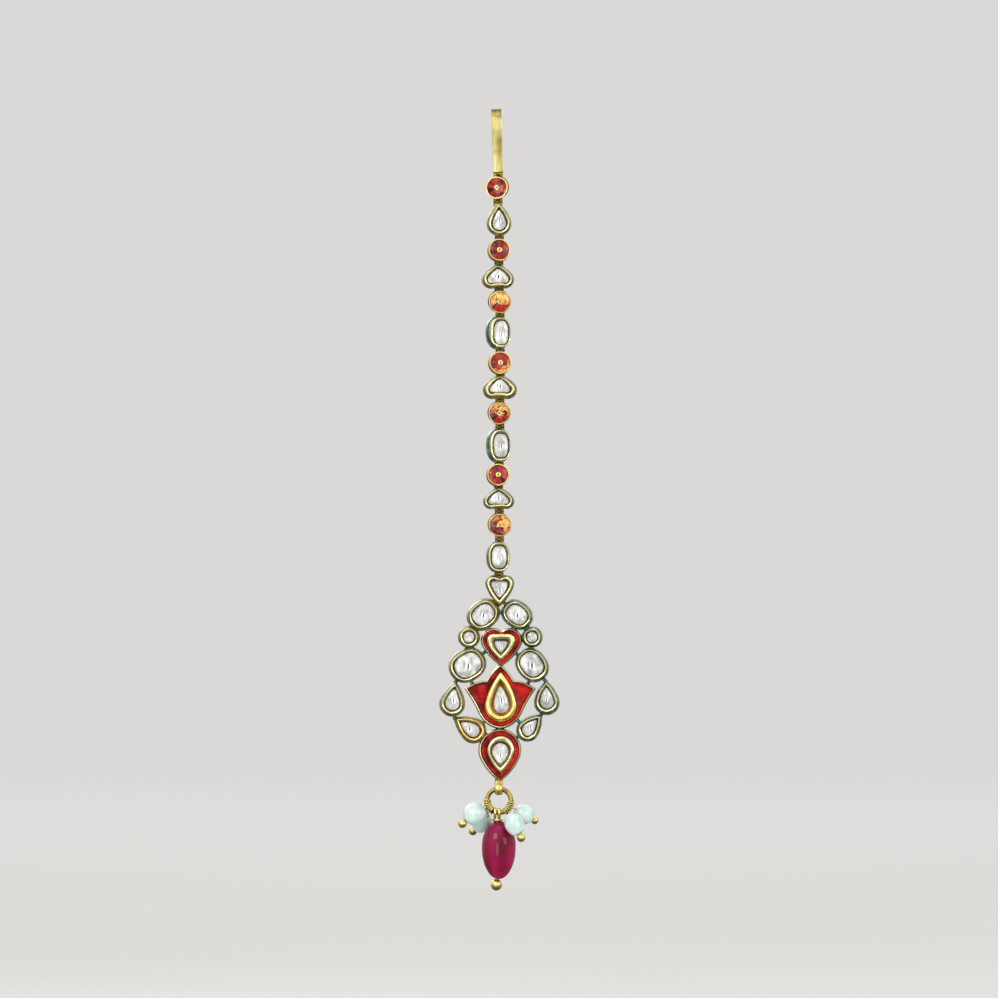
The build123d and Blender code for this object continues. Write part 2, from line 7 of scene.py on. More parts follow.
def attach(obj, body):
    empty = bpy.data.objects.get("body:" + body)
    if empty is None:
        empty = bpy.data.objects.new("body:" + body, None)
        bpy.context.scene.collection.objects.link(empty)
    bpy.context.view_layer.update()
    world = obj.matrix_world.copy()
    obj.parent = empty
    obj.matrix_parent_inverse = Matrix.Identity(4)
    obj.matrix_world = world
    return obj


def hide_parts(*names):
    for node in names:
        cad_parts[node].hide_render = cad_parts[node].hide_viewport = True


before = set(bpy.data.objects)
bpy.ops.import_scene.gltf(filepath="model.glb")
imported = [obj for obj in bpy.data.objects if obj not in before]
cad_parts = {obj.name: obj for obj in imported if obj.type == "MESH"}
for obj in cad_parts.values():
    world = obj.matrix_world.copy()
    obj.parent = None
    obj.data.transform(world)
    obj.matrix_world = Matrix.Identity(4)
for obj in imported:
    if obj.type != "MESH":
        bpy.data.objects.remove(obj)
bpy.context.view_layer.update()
print("frame loaded:", len(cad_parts), "nodes")

# A maang tikka. Sizes are in millimetres here and turn to metres when a piece is finished.
# Each setting is drawn face up: local x to the right, local y up, height out of the face.
sizes = {
    "back": 0.2,             # where the flat backs lie
    "rim": 2.0,              # height of a polki rim
    "wall": 1.6,             # height of the side walls under it
    "trayWall": 1.3,         # the same for the trays of the enamelled forms
    "sideSwell": 16,         # how far the flanks of pears and hearts swell, in degrees
    "flare": 0.3,            # how much wider the pendant's settings are at the back
    "linkFlare": 0.18,       # the same for the line's settings
    "ovalSquare": 2.25,      # how boxy polki ovals are: 2 is an ellipse
    "stoneSquare": 0.2,      # how much boxier the pendant's stones are than their walls
    "linkStoneSquare": 0.4,  # the same for the line's stones
    "rimLift": 0.04,         # how far a rim wanders up and down
    "points": 96,            # points round each outline
    "axis": 1.15,            # depth of the hinge pins
}
lobeEnd = {"heart": -140, "shield": -100}        # where the lobes end when they don't meet, in degrees
# finishes of a setting, by number: rim gold, enamelled side, link gold, wire gold, yellow gold
settingFinishes = ("kundanGold", "sideEnamel", "linkGold", "wireGold", "yellowGold")


def colour(code):
    parts = [int(code[i:i + 2], 16) / 255 for i in (1, 3, 5)]
    return tuple(p / 12.92 if p <= 0.04045 else ((p + 0.055) / 1.055) ** 2.4 for p in parts) + (1.0,)


def addNode(tree, kind, output, inputs, **settings):
    # inputs are constants or other nodes' outputs; hands back the named output
    node = tree.nodes.new("ShaderNode" + kind)
    for key, value in settings.items():
        setattr(node, key, value)
    for key, value in inputs.items():
        if isinstance(value, bpy.types.NodeSocket):
            tree.links.new(value, node.inputs[key])
        else:
            node.inputs[key].default_value = value
    return node.outputs[output] if node.outputs else None


def newMaterial(name):
    material = bpy.data.materials.new(name)
    material.use_nodes = True
    tree = material.node_tree
    tree.nodes.clear()
    return material, tree, addNode(tree, "TexCoord", "Object", {})


def surface(tree, values):
    shader = addNode(tree, "BsdfPrincipled", "BSDF", values)
    addNode(tree, "OutputMaterial", None, {"Surface": shader})


def attribute(tree, name):
    return addNode(tree, "Attribute", "Fac", {}, attribute_name=name)


def cloudy(tree, place, size, detail=2.0, distortion=0.0):
    # noise whose features are this many millimetres apart
    return addNode(tree, "TexNoise", "Fac", {
        "Vector": place, "Scale": 1000 / size, "Detail": detail, "Distortion": distortion})


def stretched(tree, place, share):
    # a pattern's place, drawn out up and down
    return addNode(tree, "Mapping", "Vector", {"Vector": place, "Scale": (1.0, 1.0, share)})


def ramp(tree, value, *stops):
    node = tree.nodes.new("ShaderNodeValToRGB")
    elements = node.color_ramp.elements
    while len(elements) < len(stops):
        elements.new(1.0)
    for stop, (position, code) in zip(elements, stops):
        stop.position = position
        stop.color = colour(code)
    tree.links.new(value, node.inputs["Fac"])
    return node.outputs["Color"]


def compute(tree, operation, *values, kind="Math", output=0, **settings):
    return addNode(tree, kind, output, dict(enumerate(values)), operation=operation, **settings)


def ranged(tree, value, low, high, start=0.0, end=1.0, way="LINEAR"):
    # low where the value is at start, high where it is at end
    return addNode(tree, "MapRange", "Result", {
        "Value": value, "From Min": start, "From Max": end, "To Min": low, "To Max": high},
        interpolation_type=way)


def blend(tree, factor, under, over, way="MIX"):
    return addNode(tree, "Mix", "Result", {"Factor": factor, "A": under, "B": over},
                   data_type="RGBA", blend_type=way)


def bumped(tree, height, strength, distance):
    return addNode(tree, "Bump", "Normal", {"Height": height, "Strength": strength, "Distance": distance})


golds = {
    # soft gold leaf pushed round a stone by hand: pale and bright on the crest, with painted olive shade in
    # the grooves
    "kundanGold": {"bright": "#FFF5BE", "deep": "#E9DC9A", "shadeAndGrime": "#4A4A28", "rough": 0.26, "dents": 1.3},
    # the same leaf, thicker and unworn: rich yellow, with a warm shade in its hollows
    "yellowGold": {"bright": "#FFEC98", "deep": "#F2D06E", "shadeAndGrime": "#8A4E10", "rough": 0.32, "dents": 1.1},
    # cast and filed links, hinges and backs: a browner, darker copy of the gold as painted shade for the
    # parts behind the settings, and duller
    "linkGold": {"bright": "#B89C54", "deep": "#80692F", "shadeAndGrime": "#26200E", "rough": 0.42, "dents": 0.6},
    # rolled strip of the hair hook: satin, with brown wear drawn out along it
    "hookGold": {"bright": "#F6EA9C", "deep": "#C9B05E", "shadeAndGrime": "#645424", "rough": 0.32, "dents": 1.1,
                 "cloud": 1.2, "drawn": 0.22},
    # ball heads, wraps and bail of drawn wire: satin, pale yellow
    "wireGold": {"bright": "#EEDD88", "deep": "#D0BA6A", "shadeAndGrime": "#3E280A", "rough": 0.36, "dents": 1.0},
    # the ring: darker than the wire on it
    "ringGold": {"bright": "#CDB86C", "deep": "#9A843E", "shadeAndGrime": "#3E280A", "rough": 0.34, "dents": 1.0},
}


def makeGold(name, values):
    material, tree, place = newMaterial(name)
    cloud = cloudy(tree, stretched(tree, place, values.get("drawn", 1.0)), values.get("cloud", 2.2), 3.0)
    dents = cloudy(tree, place, values["dents"])
    tone = ramp(tree, cloud, (0.4, values["bright"]), (0.66, values["deep"]))
    patchy = compute(tree, "MULTIPLY_ADD", dents, 0.5, 0.75)
    # painted shade: darker and rougher where the shade and wear value is high, in grooves, holes and between
    # parts; real wear on the hook and ring
    darkened = compute(tree, "MULTIPLY", attribute(tree, "shadeAndWear"), patchy, use_clamp=True)
    surface(tree, {
        "Base Color": blend(tree, darkened, tone, colour(values["shadeAndGrime"])), "Metallic": 1.0,
        "Roughness": ranged(tree, darkened, values["rough"], values["rough"] + 0.25),
        "Normal": bumped(tree, dents, 0.14, 0.00008)})
    return material


def makeSideEnamel():
    # vitreous enamel fired on the side walls: glossy dark teal, rubbed through to dull olive gold, darkened
    # with painted shade just under the rim
    material, tree, place = newMaterial("sideEnamel")
    cloud = cloudy(tree, place, 1.1, 3.0)
    level = compute(tree, "ADD", cloudy(tree, place, 3.0, 3.0), attribute(tree, "worn"))
    bare = ranged(tree, level, 0.0, 1.0, 0.92, 1.06, "SMOOTHSTEP")
    teal = ramp(tree, cloud, (0.34, "#0C2A22"), (0.5, "#1E4C40"), (0.68, "#6A968A"))
    gold = ramp(tree, cloud, (0.36, "#C2B878"), (0.62, "#7C7844"))
    tone = blend(tree, bare, teal, gold)
    surface(tree, {
        "Base Color": blend(tree, attribute(tree, "shadeAndWear"), tone, colour("#1A1C10")), "IOR": 1.52,
        "Metallic": compute(tree, "MULTIPLY", bare, 0.85), "Roughness": ranged(tree, bare, 0.2, 0.4),
        "Coat Weight": 0.3, "Coat Roughness": 0.1,
        "Normal": bumped(tree, cloudy(tree, place, 0.4), 0.15, 0.00004)})
    return material


def makeRedEnamel():
    # translucent vitreous enamel: bright red over the gold ground, darkened with painted shade where it meets
    # the walls
    material, tree, place = newMaterial("redEnamel")
    across = addNode(tree, "SeparateXYZ", "X", {0: place})
    paintedSideLight = compute(tree, "MULTIPLY_ADD", across, 9.0, cloudy(tree, place, 2.0))       # painted light: brighter red towards the right
    tone = ramp(tree, paintedSideLight, (0.36, "#560406"), (0.5, "#920C0B"), (0.66, "#C21C12"))
    # painted shade: the enamel darkens towards the walls
    surface(tree, {
        "Base Color": blend(tree, attribute(tree, "shadeAndWear"), tone, colour("#340204")),
        "Roughness": 0.2, "IOR": 1.5, "Specular IOR Level": 0.12, "Coat Weight": 0.06, "Coat Roughness": 0.04,
        "Normal": bumped(tree, cloudy(tree, place, 1.0, 1.0), 0.2, 0.0001)})
    return material


def oval(tree, face, centre, size):
    # 1 inside a soft-edged oval on the stone's face
    off = compute(tree, "SUBTRACT", face, (*centre, 0), kind="VectorMath")
    scaled = compute(tree, "DIVIDE", off, (*size, 1), kind="VectorMath")
    reach = compute(tree, "LENGTH", scaled, kind="VectorMath", output="Value")
    return ranged(tree, reach, 1.0, 0.0, 0.45, 1.1, "SMOOTHSTEP")


# painted reflection of the culet on a polki's face, as shares of its half sizes: centre, size and colour
polkiCuletReflection = (
    ((-0.2, 0.06), (0.07, 0.3), "#8E9092"),
    ((-0.05, -0.06), (0.08, 0.3), "#FFFFFF"),
    ((0.22, -0.08), (0.09, 0.34), "#FFFFFF"),
    ((0.08, -0.04), (0.08, 0.3), "#16181A"),         # painted dark reflection of the culet, between its painted bright strokes
)


def makePolki():
    # uncut diamond over silver foil: near white, cloudy grey streaks, and a painted reflection of the culet,
    # a dark slit between bright strokes
    material, tree, place = newMaterial("foiledPolki")
    streaks = cloudy(tree, stretched(tree, place, 0.55), 1.3, 3.0, 0.8)
    patches = cloudy(tree, place, 1.7, 1.0, 0.4)
    tone = ramp(tree, streaks, (0.34, "#ECECE8"), (0.47, "#D2D3CF"), (0.58, "#BABCBA"), (0.68, "#A0A2A2"))
    cloud = ramp(tree, patches, (0.44, "#FFFFFF"), (0.6, "#DEDFE0"))
    shade = blend(tree, 1.0, tone, cloud, "MULTIPLY")
    face = addNode(tree, "TexCoord", "UV", {})
    wave = streaks.node.outputs["Color"]             # bends the marks a little
    bent = compute(tree, "MULTIPLY_ADD", wave, (0.1, 0.1, 0.0), face, kind="VectorMath")
    for centre, size, code in polkiCuletReflection:
        shade = blend(tree, oval(tree, bent, centre, size), shade, colour(code))
    surface(tree, {
        "Base Color": shade, "Roughness": 0.14, "IOR": 1.7, "Coat Weight": 0.3, "Coat Roughness": 0.03,
        "Normal": bumped(tree, streaks, 0.15, 0.00008)})
    return material


def makeFoiledRuby():
    # red glass over crumpled gold foil: wedges of dark red, scarlet and pink, gold where the foil rises
    material, tree, place = newMaterial("foiledRuby")
    face = addNode(tree, "TexCoord", "UV", {})
    crumple = cloudy(tree, place, 0.8, 3.0, 0.8)
    # alike along each ray from the middle, so that the noise falls into wedges; its place sets a stone apart
    way = compute(tree, "NORMALIZE", face, kind="VectorMath")
    fan = compute(tree, "MULTIPLY_ADD", place, (60.0, 60.0, 60.0), way, kind="VectorMath")
    wedges = addNode(tree, "TexNoise", "Fac", {"Vector": fan, "Scale": 0.95, "Detail": 0.6})
    high = addNode(tree, "SeparateXYZ", "Y", {0: face})
    lean = compute(tree, "MULTIPLY_ADD", high, 0.22, crumple)
    lifted = compute(tree, "ADD", lean, attribute(tree, "foil"))
    red = ramp(tree, wedges, (0.34, "#30040A"), (0.42, "#760A0E"), (0.5, "#AC2014"), (0.57, "#7C2034"),
               (0.66, "#44060C"))
    gold = ramp(tree, crumple, (0.35, "#FFE48C"), (0.65, "#C87430"))
    surface(tree, {
        "Base Color": blend(tree, ranged(tree, lifted, 0.0, 1.0, 0.78, 0.9, "SMOOTHSTEP"), red, gold),
        "Roughness": 0.16, "IOR": 1.55, "Specular IOR Level": 0.4, "Coat Weight": 0.2, "Coat Roughness": 0.04,
        "Normal": bumped(tree, crumple, 0.3, 0.0001)})
    return material


def makeTumbledRuby():
    # tumbled ruby: deep crimson, waxy gloss, faint silk running down the bead
    material, tree, place = newMaterial("tumbledRuby")
    silk = cloudy(tree, stretched(tree, place, 0.3), 3.2, 1.5)
    surface(tree, {
        "Base Color": ramp(tree, silk, (0.34, "#580019"), (0.52, "#7C0232"), (0.7, "#981054")),
        "Roughness": 0.5, "IOR": 1.6, "Specular IOR Level": 0.08, "Coat Weight": 0.35, "Coat Roughness": 0.02,
        "Subsurface Weight": 0.1, "Subsurface Scale": 0.0008, "Subsurface Radius": (1.0, 0.2, 0.35),
        "Normal": bumped(tree, silk, 0.15, 0.0001)})
    return material


def makeNacre():
    # river pearl: pale with a cool blue-green body, soft lustre, slight growth ripples
    material, tree, place = newMaterial("pearlNacre")
    cloud = cloudy(tree, place, 2.2, 3.0)
    surface(tree, {
        "Base Color": ramp(tree, cloud, (0.34, "#A8C4BF"), (0.5, "#BED4D0"), (0.66, "#D6E0DF")),
        "Roughness": 0.26, "IOR": 1.53, "Coat Weight": 0.4, "Coat Roughness": 0.1,
        "Sheen Weight": 0.3, "Sheen Roughness": 0.4, "Sheen Tint": colour("#CFE6EA"),
        "Subsurface Weight": 0.15, "Subsurface Scale": 0.0006, "Subsurface Radius": (1.0, 0.9, 0.8),
        "Normal": bumped(tree, cloud, 0.2, 0.0002)})
    return material


finishes = {name: makeGold(name, values) for name, values in golds.items()}
for make in (makeSideEnamel, makeRedEnamel, makePolki, makeFoiledRuby, makeTumbledRuby, makeNacre):
    material = make()
    finishes[material.name] = material
print("finishes made:", ", ".join(finishes))


curves = {"flank": 0.45, "foot": 0.9}        # share of the half outline where the flank and the lobe end


def facing(x, z, roll=0, yaw=0, pitch=0):
    # yaw turns the face right, pitch turns it down, roll turns it anticlockwise
    turn, dip, lean = math.radians(yaw), math.radians(pitch), math.radians(roll)
    out = Vector((math.sin(turn) * math.cos(dip), -math.cos(turn) * math.cos(dip), -math.sin(dip)))
    right = Vector((math.cos(turn), math.sin(turn), 0))
    xDir = right * math.cos(lean) + out.cross(right) * math.sin(lean)
    front = Vector((x, sizes["back"] - sizes["rim"], z))
    axes = Matrix((xDir, out.cross(xDir), out)).transposed().to_4x4()
    return Matrix.Translation(front - out * sizes["rim"]) @ axes


def pointedHalf(shape, r, spread, tip, share, grow):
    # right half of a pear, heart or shield, from its tip (share 0) to its foot (share 1)
    reach = math.hypot(spread, tip)
    meet = math.atan2(tip, -spread) - math.acos(r / reach) - math.radians(sizes["sideSwell"])
    along = tip * math.sin(meet) - spread * math.cos(meet)
    radius = (reach**2 - 2 * r * along + r**2) / (2 * (r - along))
    middle = (spread + (r - radius) * math.cos(meet), (r - radius) * math.sin(meet))
    radius, r = radius + grow, r + grow
    start = math.acos(-middle[0] / radius)
    notched = spread < r and shape != "shield"
    end = math.acos(spread / r) - math.pi if notched else math.radians(lobeEnd[shape])
    flank, foot = curves["flank"], 1.0 if notched else curves["foot"]
    if share <= flank:
        angle = start + (meet - start) * share / flank
        return middle[0] + radius * math.cos(angle), middle[1] + radius * math.sin(angle)
    if share <= foot:
        angle = meet + (end - meet) * (share - flank) / (foot - flank)
        return spread + r * math.cos(angle), r * math.sin(angle)
    return (spread + r * math.cos(end)) * (1 - share) / (1 - foot), r * math.sin(end)


def outline(shape, r, spread=0, tip=0, square=2.0, grow=0.0, count=None):
    # points clockwise from the top; square over 2 makes an oval boxier
    count = count or sizes["points"]
    points = []
    for i in range(count):
        if shape in ("round", "oval"):
            angle = math.tau * i / count
            high = (r if shape == "round" else tip) + grow
            sine, cosine = math.sin(angle), math.cos(angle)
            points.append((math.copysign(abs(sine) ** (2 / square), sine) * (r + grow),
                           math.copysign(abs(cosine) ** (2 / square), cosine) * high))
        else:
            share = 2 * i / count
            u, v = pointedHalf(shape, r, spread, tip, share if share <= 1 else 2 - share, grow)
            points.append((u if share <= 1 else -u, v))
    return points


def between(outer, inner, share):
    return [(a + (c - a) * share, b + (d - b) * share) for (a, b), (c, d) in zip(outer, inner)]


def chance(*steps):
    # repeatable unevenness, about zero
    return noise.noise(Vector(steps))


def wander(seed, share, waves=1.2):
    # smooth unevenness round a closed outline, mostly from -1 to 1
    angle = math.tau * share
    return 1.8 * chance(math.cos(angle) * waves, math.sin(angle) * waves, seed * 3.7)


def startPiece():
    bm = bmesh.new()
    bm.verts.layers.int.new("turn")
    bm.verts.layers.float_vector.new("local")
    for name in ("shadeAndWear", "foil", "worn"):
        bm.verts.layers.float.new(name)
    return bm


def placed(middle, aim):
    # a place whose local z points along aim
    return Matrix.Translation(middle) @ Vector(aim).to_track_quat("Z", "Y").to_matrix().to_4x4()


def vertsOf(items):
    return [item for item in items if isinstance(item, bmesh.types.BMVert)]


def edgesOf(verts):
    return list({edge for vert in verts for edge in vert.link_edges})


bareEdge = {"height": 0.3, "worn": 0.45}         # enamel is rubbed bare along the back edge


def setRing(bm, verts, ring, place, worn):
    layers = bm.verts.layers
    turn, local = layers.int["turn"], layers.float_vector["local"]
    points, height, _, shadeAndWear = ring
    for vert in verts:
        at = vert[turn]
        u, v = points[at]
        up = height[at] if isinstance(height, list) else height
        vert[local] = (u, v, 0)
        vert[layers.float["shadeAndWear"]] = shadeAndWear
        vert[layers.float["worn"]] = worn + (bareEdge["worn"] if up < bareEdge["height"] else 0.0)
        vert.co = place @ Vector((u, v, up))


def loft(bm, rings, place=Matrix(), capped=True, worn=0.5):
    # each ring is (points, height, finish, painted shade and wear); the next one is extruded from the one
    # before
    places = place if isinstance(place, list) else [place] * len(rings)
    turn = bm.verts.layers.int["turn"]
    verts = bmesh.ops.create_circle(bm, segments=len(rings[0][0]), radius=1)["verts"]
    for i, vert in enumerate(verts):
        vert[turn] = i
    edges = edgesOf(verts)
    setRing(bm, verts, rings[0], places[0], worn)
    if capped:
        bmesh.ops.edgeloop_fill(bm, edges=edges, mat_nr=rings[0][2])
    for ring, home in zip(rings[1:], places[1:]):
        grown = bmesh.ops.extrude_edge_only(bm, edges=edges)["geom"]
        fresh = set(vertsOf(grown))
        edges = [edge for edge in edgesOf(fresh) if fresh.issuperset(edge.verts)]
        setRing(bm, fresh, ring, home, worn)
        for edge in edges:
            for face in edge.link_faces:
                face.material_index = ring[2]
    if capped:
        bmesh.ops.edgeloop_fill(bm, edges=edges, mat_nr=rings[-1][2])


def tube(bm, place, outerRadius, innerRadius, width):
    # a drilled barrel of link gold along local z, its middle on the origin
    half, edge, shadeAndWear = width / 2, min(hinge["edge"], width / 6), 0.2
    # painted shade: the barrel is darkened a little and the inside of the bore is dark
    profile = ((innerRadius, -half, shadeAndWear), (outerRadius - edge, -half, shadeAndWear), (outerRadius, edge - half, shadeAndWear),
               (outerRadius, half - edge, shadeAndWear), (outerRadius - edge, half, shadeAndWear), (innerRadius, half, shadeAndWear),
               (innerRadius, -half, 1.0))
    rings = [(outline("round", radius, count=32), height, 2, old) for radius, height, old in profile]
    loft(bm, rings, place, capped=False)


def pinAlongX(x, y, z):
    # local z runs along the world's x
    return Matrix.Translation((x, y, z)) @ Matrix.Rotation(math.radians(90), 4, "Y")


def slab(bm, points, x, width, shadeAndWear=0.35):
    # a bevelled block of link gold, from a side view in (depth, height) points and its width along x,
    # darkened all over with painted shade
    verts = [bm.verts.new((x - width / 2, depth, height)) for depth, height in points]
    face = bm.faces.new(verts)
    top = vertsOf(bmesh.ops.extrude_face_region(bm, geom=[face])["geom"])
    bmesh.ops.translate(bm, vec=(width, 0, 0), verts=top)
    softened(bm, edgesOf(verts + top), hinge["edge"], 2, shadeAndWear)


def softened(bm, edges, offset, finish, shadeAndWear):
    cut = bmesh.ops.bevel(bm, geom=edges, offset=offset, affect="EDGES", segments=2, profile=0.5, material=-1)
    shadeAndWearLayer = bm.verts.layers.float["shadeAndWear"]
    for face in {face for vert in cut["verts"] for face in vert.link_faces}:
        face.material_index = finish
        for vert in face.verts:
            vert[shadeAndWearLayer] = shadeAndWear


hinge = {"knuckle": 0.6, "hole": 0.33, "width": 1.0, "ear": 0.5, "earWidth": 0.28, "gap": 0.08, "edge": 0.06,
         "pin": 0.2, "pinHead": 0.03, "pinTip": 0.35,
         # the web: where it meets the barrel, its two ends, how far it sinks into the back and stands off it
         "tangent": 0.7, "start": 1.2, "reach": 2.3, "bite": 0.3, "foot": 0.4,
         "plate": 0.35, "plateBite": 0.25, "plateRise": 0.12}


def addWeb(bm, x, z, way, radius, width):
    # ties a knuckle or an ear to the back of its setting, which lies above it (way 1) or below it (way -1)
    axis, back, tangent = sizes["axis"], sizes["back"], radius * hinge["tangent"]
    near, far = z + way * hinge["start"], z + way * hinge["reach"]
    slab(bm, ((axis + tangent, z + way * tangent), (back + hinge["foot"], far), (back - hinge["bite"], far),
              (back - hinge["bite"], near), (axis - tangent, z + way * tangent)), x, width)


def addPlate(bm, x, z, way):
    # closes the joint behind the settings, clear of the knuckle's turn
    near, far = z + way * hinge["plate"], z + way * hinge["reach"]
    low, high = sizes["back"] - hinge["plateBite"], sizes["back"] + hinge["plateRise"]
    slab(bm, ((low, near), (high, near), (high, far), (low, far)), x,
         hinge["width"] + 2 * (hinge["gap"] + hinge["earWidth"]), 0.2)


def addKnuckle(bm, x, z):
    addPlate(bm, x, z, 1)
    tube(bm, pinAlongX(x, sizes["axis"], z), hinge["knuckle"], hinge["hole"], hinge["width"])
    addWeb(bm, x, z, 1, hinge["knuckle"], hinge["width"])


def addEars(bm, x, z):
    addPlate(bm, x, z, -1)
    side = hinge["width"] / 2 + hinge["gap"] + hinge["earWidth"] / 2
    for way in (-1, 1):
        tube(bm, pinAlongX(x + way * side, sizes["axis"], z), hinge["ear"], hinge["pin"], hinge["earWidth"])
        addWeb(bm, x + way * side, z, -1, hinge["ear"], hinge["earWidth"])
    pin = outline("round", hinge["pin"], count=20)
    head = between(pin, [(0, 0)] * len(pin), hinge["pinTip"])
    end = side + hinge["earWidth"] / 2
    tip = end + hinge["pinHead"]
    loft(bm, [(head, -tip, 2, 0.1), (pin, -end, 2, 0.1), (pin, end, 2, 0.1), (head, tip, 2, 0.1)],
         pinAlongX(x, sizes["axis"], z))


weld, sliver = 0.002, 0.0005         # points nearer than weld are joined, edges under sliver are dissolved


def finishPiece(bm, name, body, nodes, materials, smooth=35, uvSize=None, turnUv=0):
    # closes seams, turns faces outward, writes the face coordinates and hands the piece to its body
    bmesh.ops.remove_doubles(bm, verts=bm.verts, dist=weld)
    bmesh.ops.dissolve_degenerate(bm, edges=bm.edges, dist=sliver)
    bmesh.ops.recalc_face_normals(bm, faces=bm.faces)
    if uvSize:
        local, layer = bm.verts.layers.float_vector["local"], bm.loops.layers.uv.new("face")
        spin = Matrix.Rotation(math.radians(turnUv), 2)
        for face in bm.faces:
            for loop in face.loops:
                flat = spin @ Vector(loop.vert[local][:2])
                loop[layer].uv = (flat[0] / uvSize[0], flat[1] / uvSize[1])
    bmesh.ops.scale(bm, vec=(0.001, 0.001, 0.001), verts=bm.verts)
    mesh = bpy.data.meshes.new(name)
    bm.to_mesh(mesh)
    bm.free()
    for finish in materials:
        mesh.materials.append(finishes[finish])
    if smooth:
        mesh.shade_smooth()
        mesh.set_sharp_from_angle(angle=math.radians(smooth))
    piece = bpy.data.objects.new(name, mesh)
    bpy.context.scene.collection.objects.link(piece)
    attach(piece, body)
    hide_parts(*nodes)


# share of the way from the wall to the stone, height, finish, painted shade (dark in the grooves of the rim
# and beside the stone), how far the rim wanders sideways and up
polkiProfile = (
    (0.45, 0.0, 2, 0.3, 0.0, 0.0), (0.14, 0.02, 2, 0.6, 0.0, 0.0), (0.03, 0.12, 1, 0.0, 0.0, 0.0),
    (0.0, 0.4, 1, 0.0, 0.01, 0.0), (0.0, 1.2, 1, 0.0, 0.01, 0.0), (0.05, 1.42, 1, 0.1, 0.01, 0.0),
    (0.17, 1.57, 1, 0.35, 0.03, 0.0), (0.25, 1.63, 0, 0.95, 0.05, 0.0), (0.29, 1.74, 0, 0.6, 0.06, 0.5),
    (0.33, 1.87, 0, 0.3, 0.06, 1.0), (0.4, 1.96, 0, 0.0, 0.06, 1.0), (0.5, 2.0, 0, 0.0, 0.05, 1.0),
    (0.64, 1.97, 0, 0.1, 0.07, 1.0), (0.75, 1.88, 0, 0.3, 0.09, 0.8), (0.82, 1.74, 0, 0.6, 0.09, 0.3),
    (0.86, 1.5, 0, 0.9, 0.05, 0.0), (1.0, 1.34, 0, 1.0, 0.0, 0.0), (1.3, 1.28, 0, 1.0, 0.0, 0.0),
)


def settingRings(outer, inner, profile, seed, wide=None, rim=0):
    # wide is the outline at the back plane, rim the finish of the gold
    rings, lift = [], sizes["rimLift"]
    for share, height, finish, shadeAndWear, sideways, upward in profile:
        base = between(outer, wide, max(0.0, 1 - height / sizes["wall"])) if wide else outer
        points, heights = [], []
        for i, (a, b) in enumerate(zip(base, inner)):
            at = i / len(outer)
            drift = share + sideways * wander(seed, at)
            points.append((a[0] + (b[0] - a[0]) * drift, a[1] + (b[1] - a[1]) * drift))
            heights.append(height + upward * lift * wander(seed + 5, at, 1.6))
        rings.append((points, heights, finish or rim, shadeAndWear))
    return rings


def closeStone(bm, place):
    # wraps flat facets round the points of a stone and moves it to its setting
    hull = bmesh.ops.convex_hull(bm, input=bm.verts)
    loose = vertsOf(hull["geom_interior"] + hull["geom_unused"])
    bmesh.ops.delete(bm, geom=list(set(loose)), context="VERTS")
    bmesh.ops.transform(bm, matrix=place, verts=bm.verts)


# polki cut: a girdle, an uneven crown and a nearly flat table, each ring as
# (share of the outline, height, corners, how far its corners slide, how far they rise)
polkiCut = ((0.96, 1.1, 16, 0, 0), (0.97, 1.46, 16, 0, 0), (0.8, 1.76, 11, 0.12, 0.045),
            (0.5, 1.88, 7, 0.12, 0.02))


def makePolkiStone(name, node, body, place, cut, seed, roll=0):
    bm = startPiece()
    local = bm.verts.layers.float_vector["local"]
    shape = outline(*cut)
    heights = [v for _, v in shape]
    middle = Vector((0, (max(heights) + min(heights)) / 2))
    for ring, (share, height, corners, slip, rise) in enumerate(polkiCut):
        for i, vert in enumerate(bmesh.ops.create_circle(bm, segments=corners, radius=1)["verts"]):
            slide = chance(i * 1.7, ring * 5.1, seed * 2.3) if slip else 0
            at = int(((i + 0.5 * ring + 0.5 * slide) / corners % 1) * len(shape))
            spot = middle + (Vector(shape[at]) - middle) * (share + slip * slide)
            vert.co = (spot[0], spot[1], height + rise * chance(i * 2.9, ring * 3.3, seed * 1.9))
            vert[local] = (spot[0], spot[1] - middle[1], 0)
    closeStone(bm, place)
    upright = roll + seed * 17 % 24 - 12         # the painted culet reflection leans 12 degrees at most
    turned = [Matrix.Rotation(math.radians(upright), 2) @ (Vector(spot) - middle) for spot in shape]
    finishPiece(bm, name, body, [node], ["foiledPolki"], smooth=0, turnUv=upright,
                uvSize=[max(abs(spot[i]) for spot in turned) for i in (0, 1)])


# round links, top to bottom: x, z, radius, yaw, pitch; how much gold foil shows and towards which side;
# rays on the rivet and how far they reach
roundLinks = (
    {"at": (-0.44, -14.56, 2.13, -7, 6), "foil": 0.04, "side": -20, "rays": (0, 0.0)},
    {"at": (0.10, -26.34, 2.13, 7, -6), "foil": 0.02, "side": 150, "rays": (0, 0.0)},
    {"at": (0.22, -36.30, 2.17, 6, 6), "foil": 0.34, "side": 90, "rays": (0, 0.0)},
    {"at": (0.28, -47.72, 2.15, 7, -6), "foil": 0.18, "side": -60, "rays": (0, 0.0)},
    {"at": (0.13, -57.41, 2.15, 6, 6), "foil": 0.26, "side": 80, "rays": (4, 0.45)},
    {"at": (-0.13, -69.02, 2.12, 6, -5), "foil": 0.04, "side": 60, "rays": (0, 0.0)},
    {"at": (0.19, -78.62, 2.2, 6, 6), "foil": 0.28, "side": 20, "rays": (3, 0.25)},
)

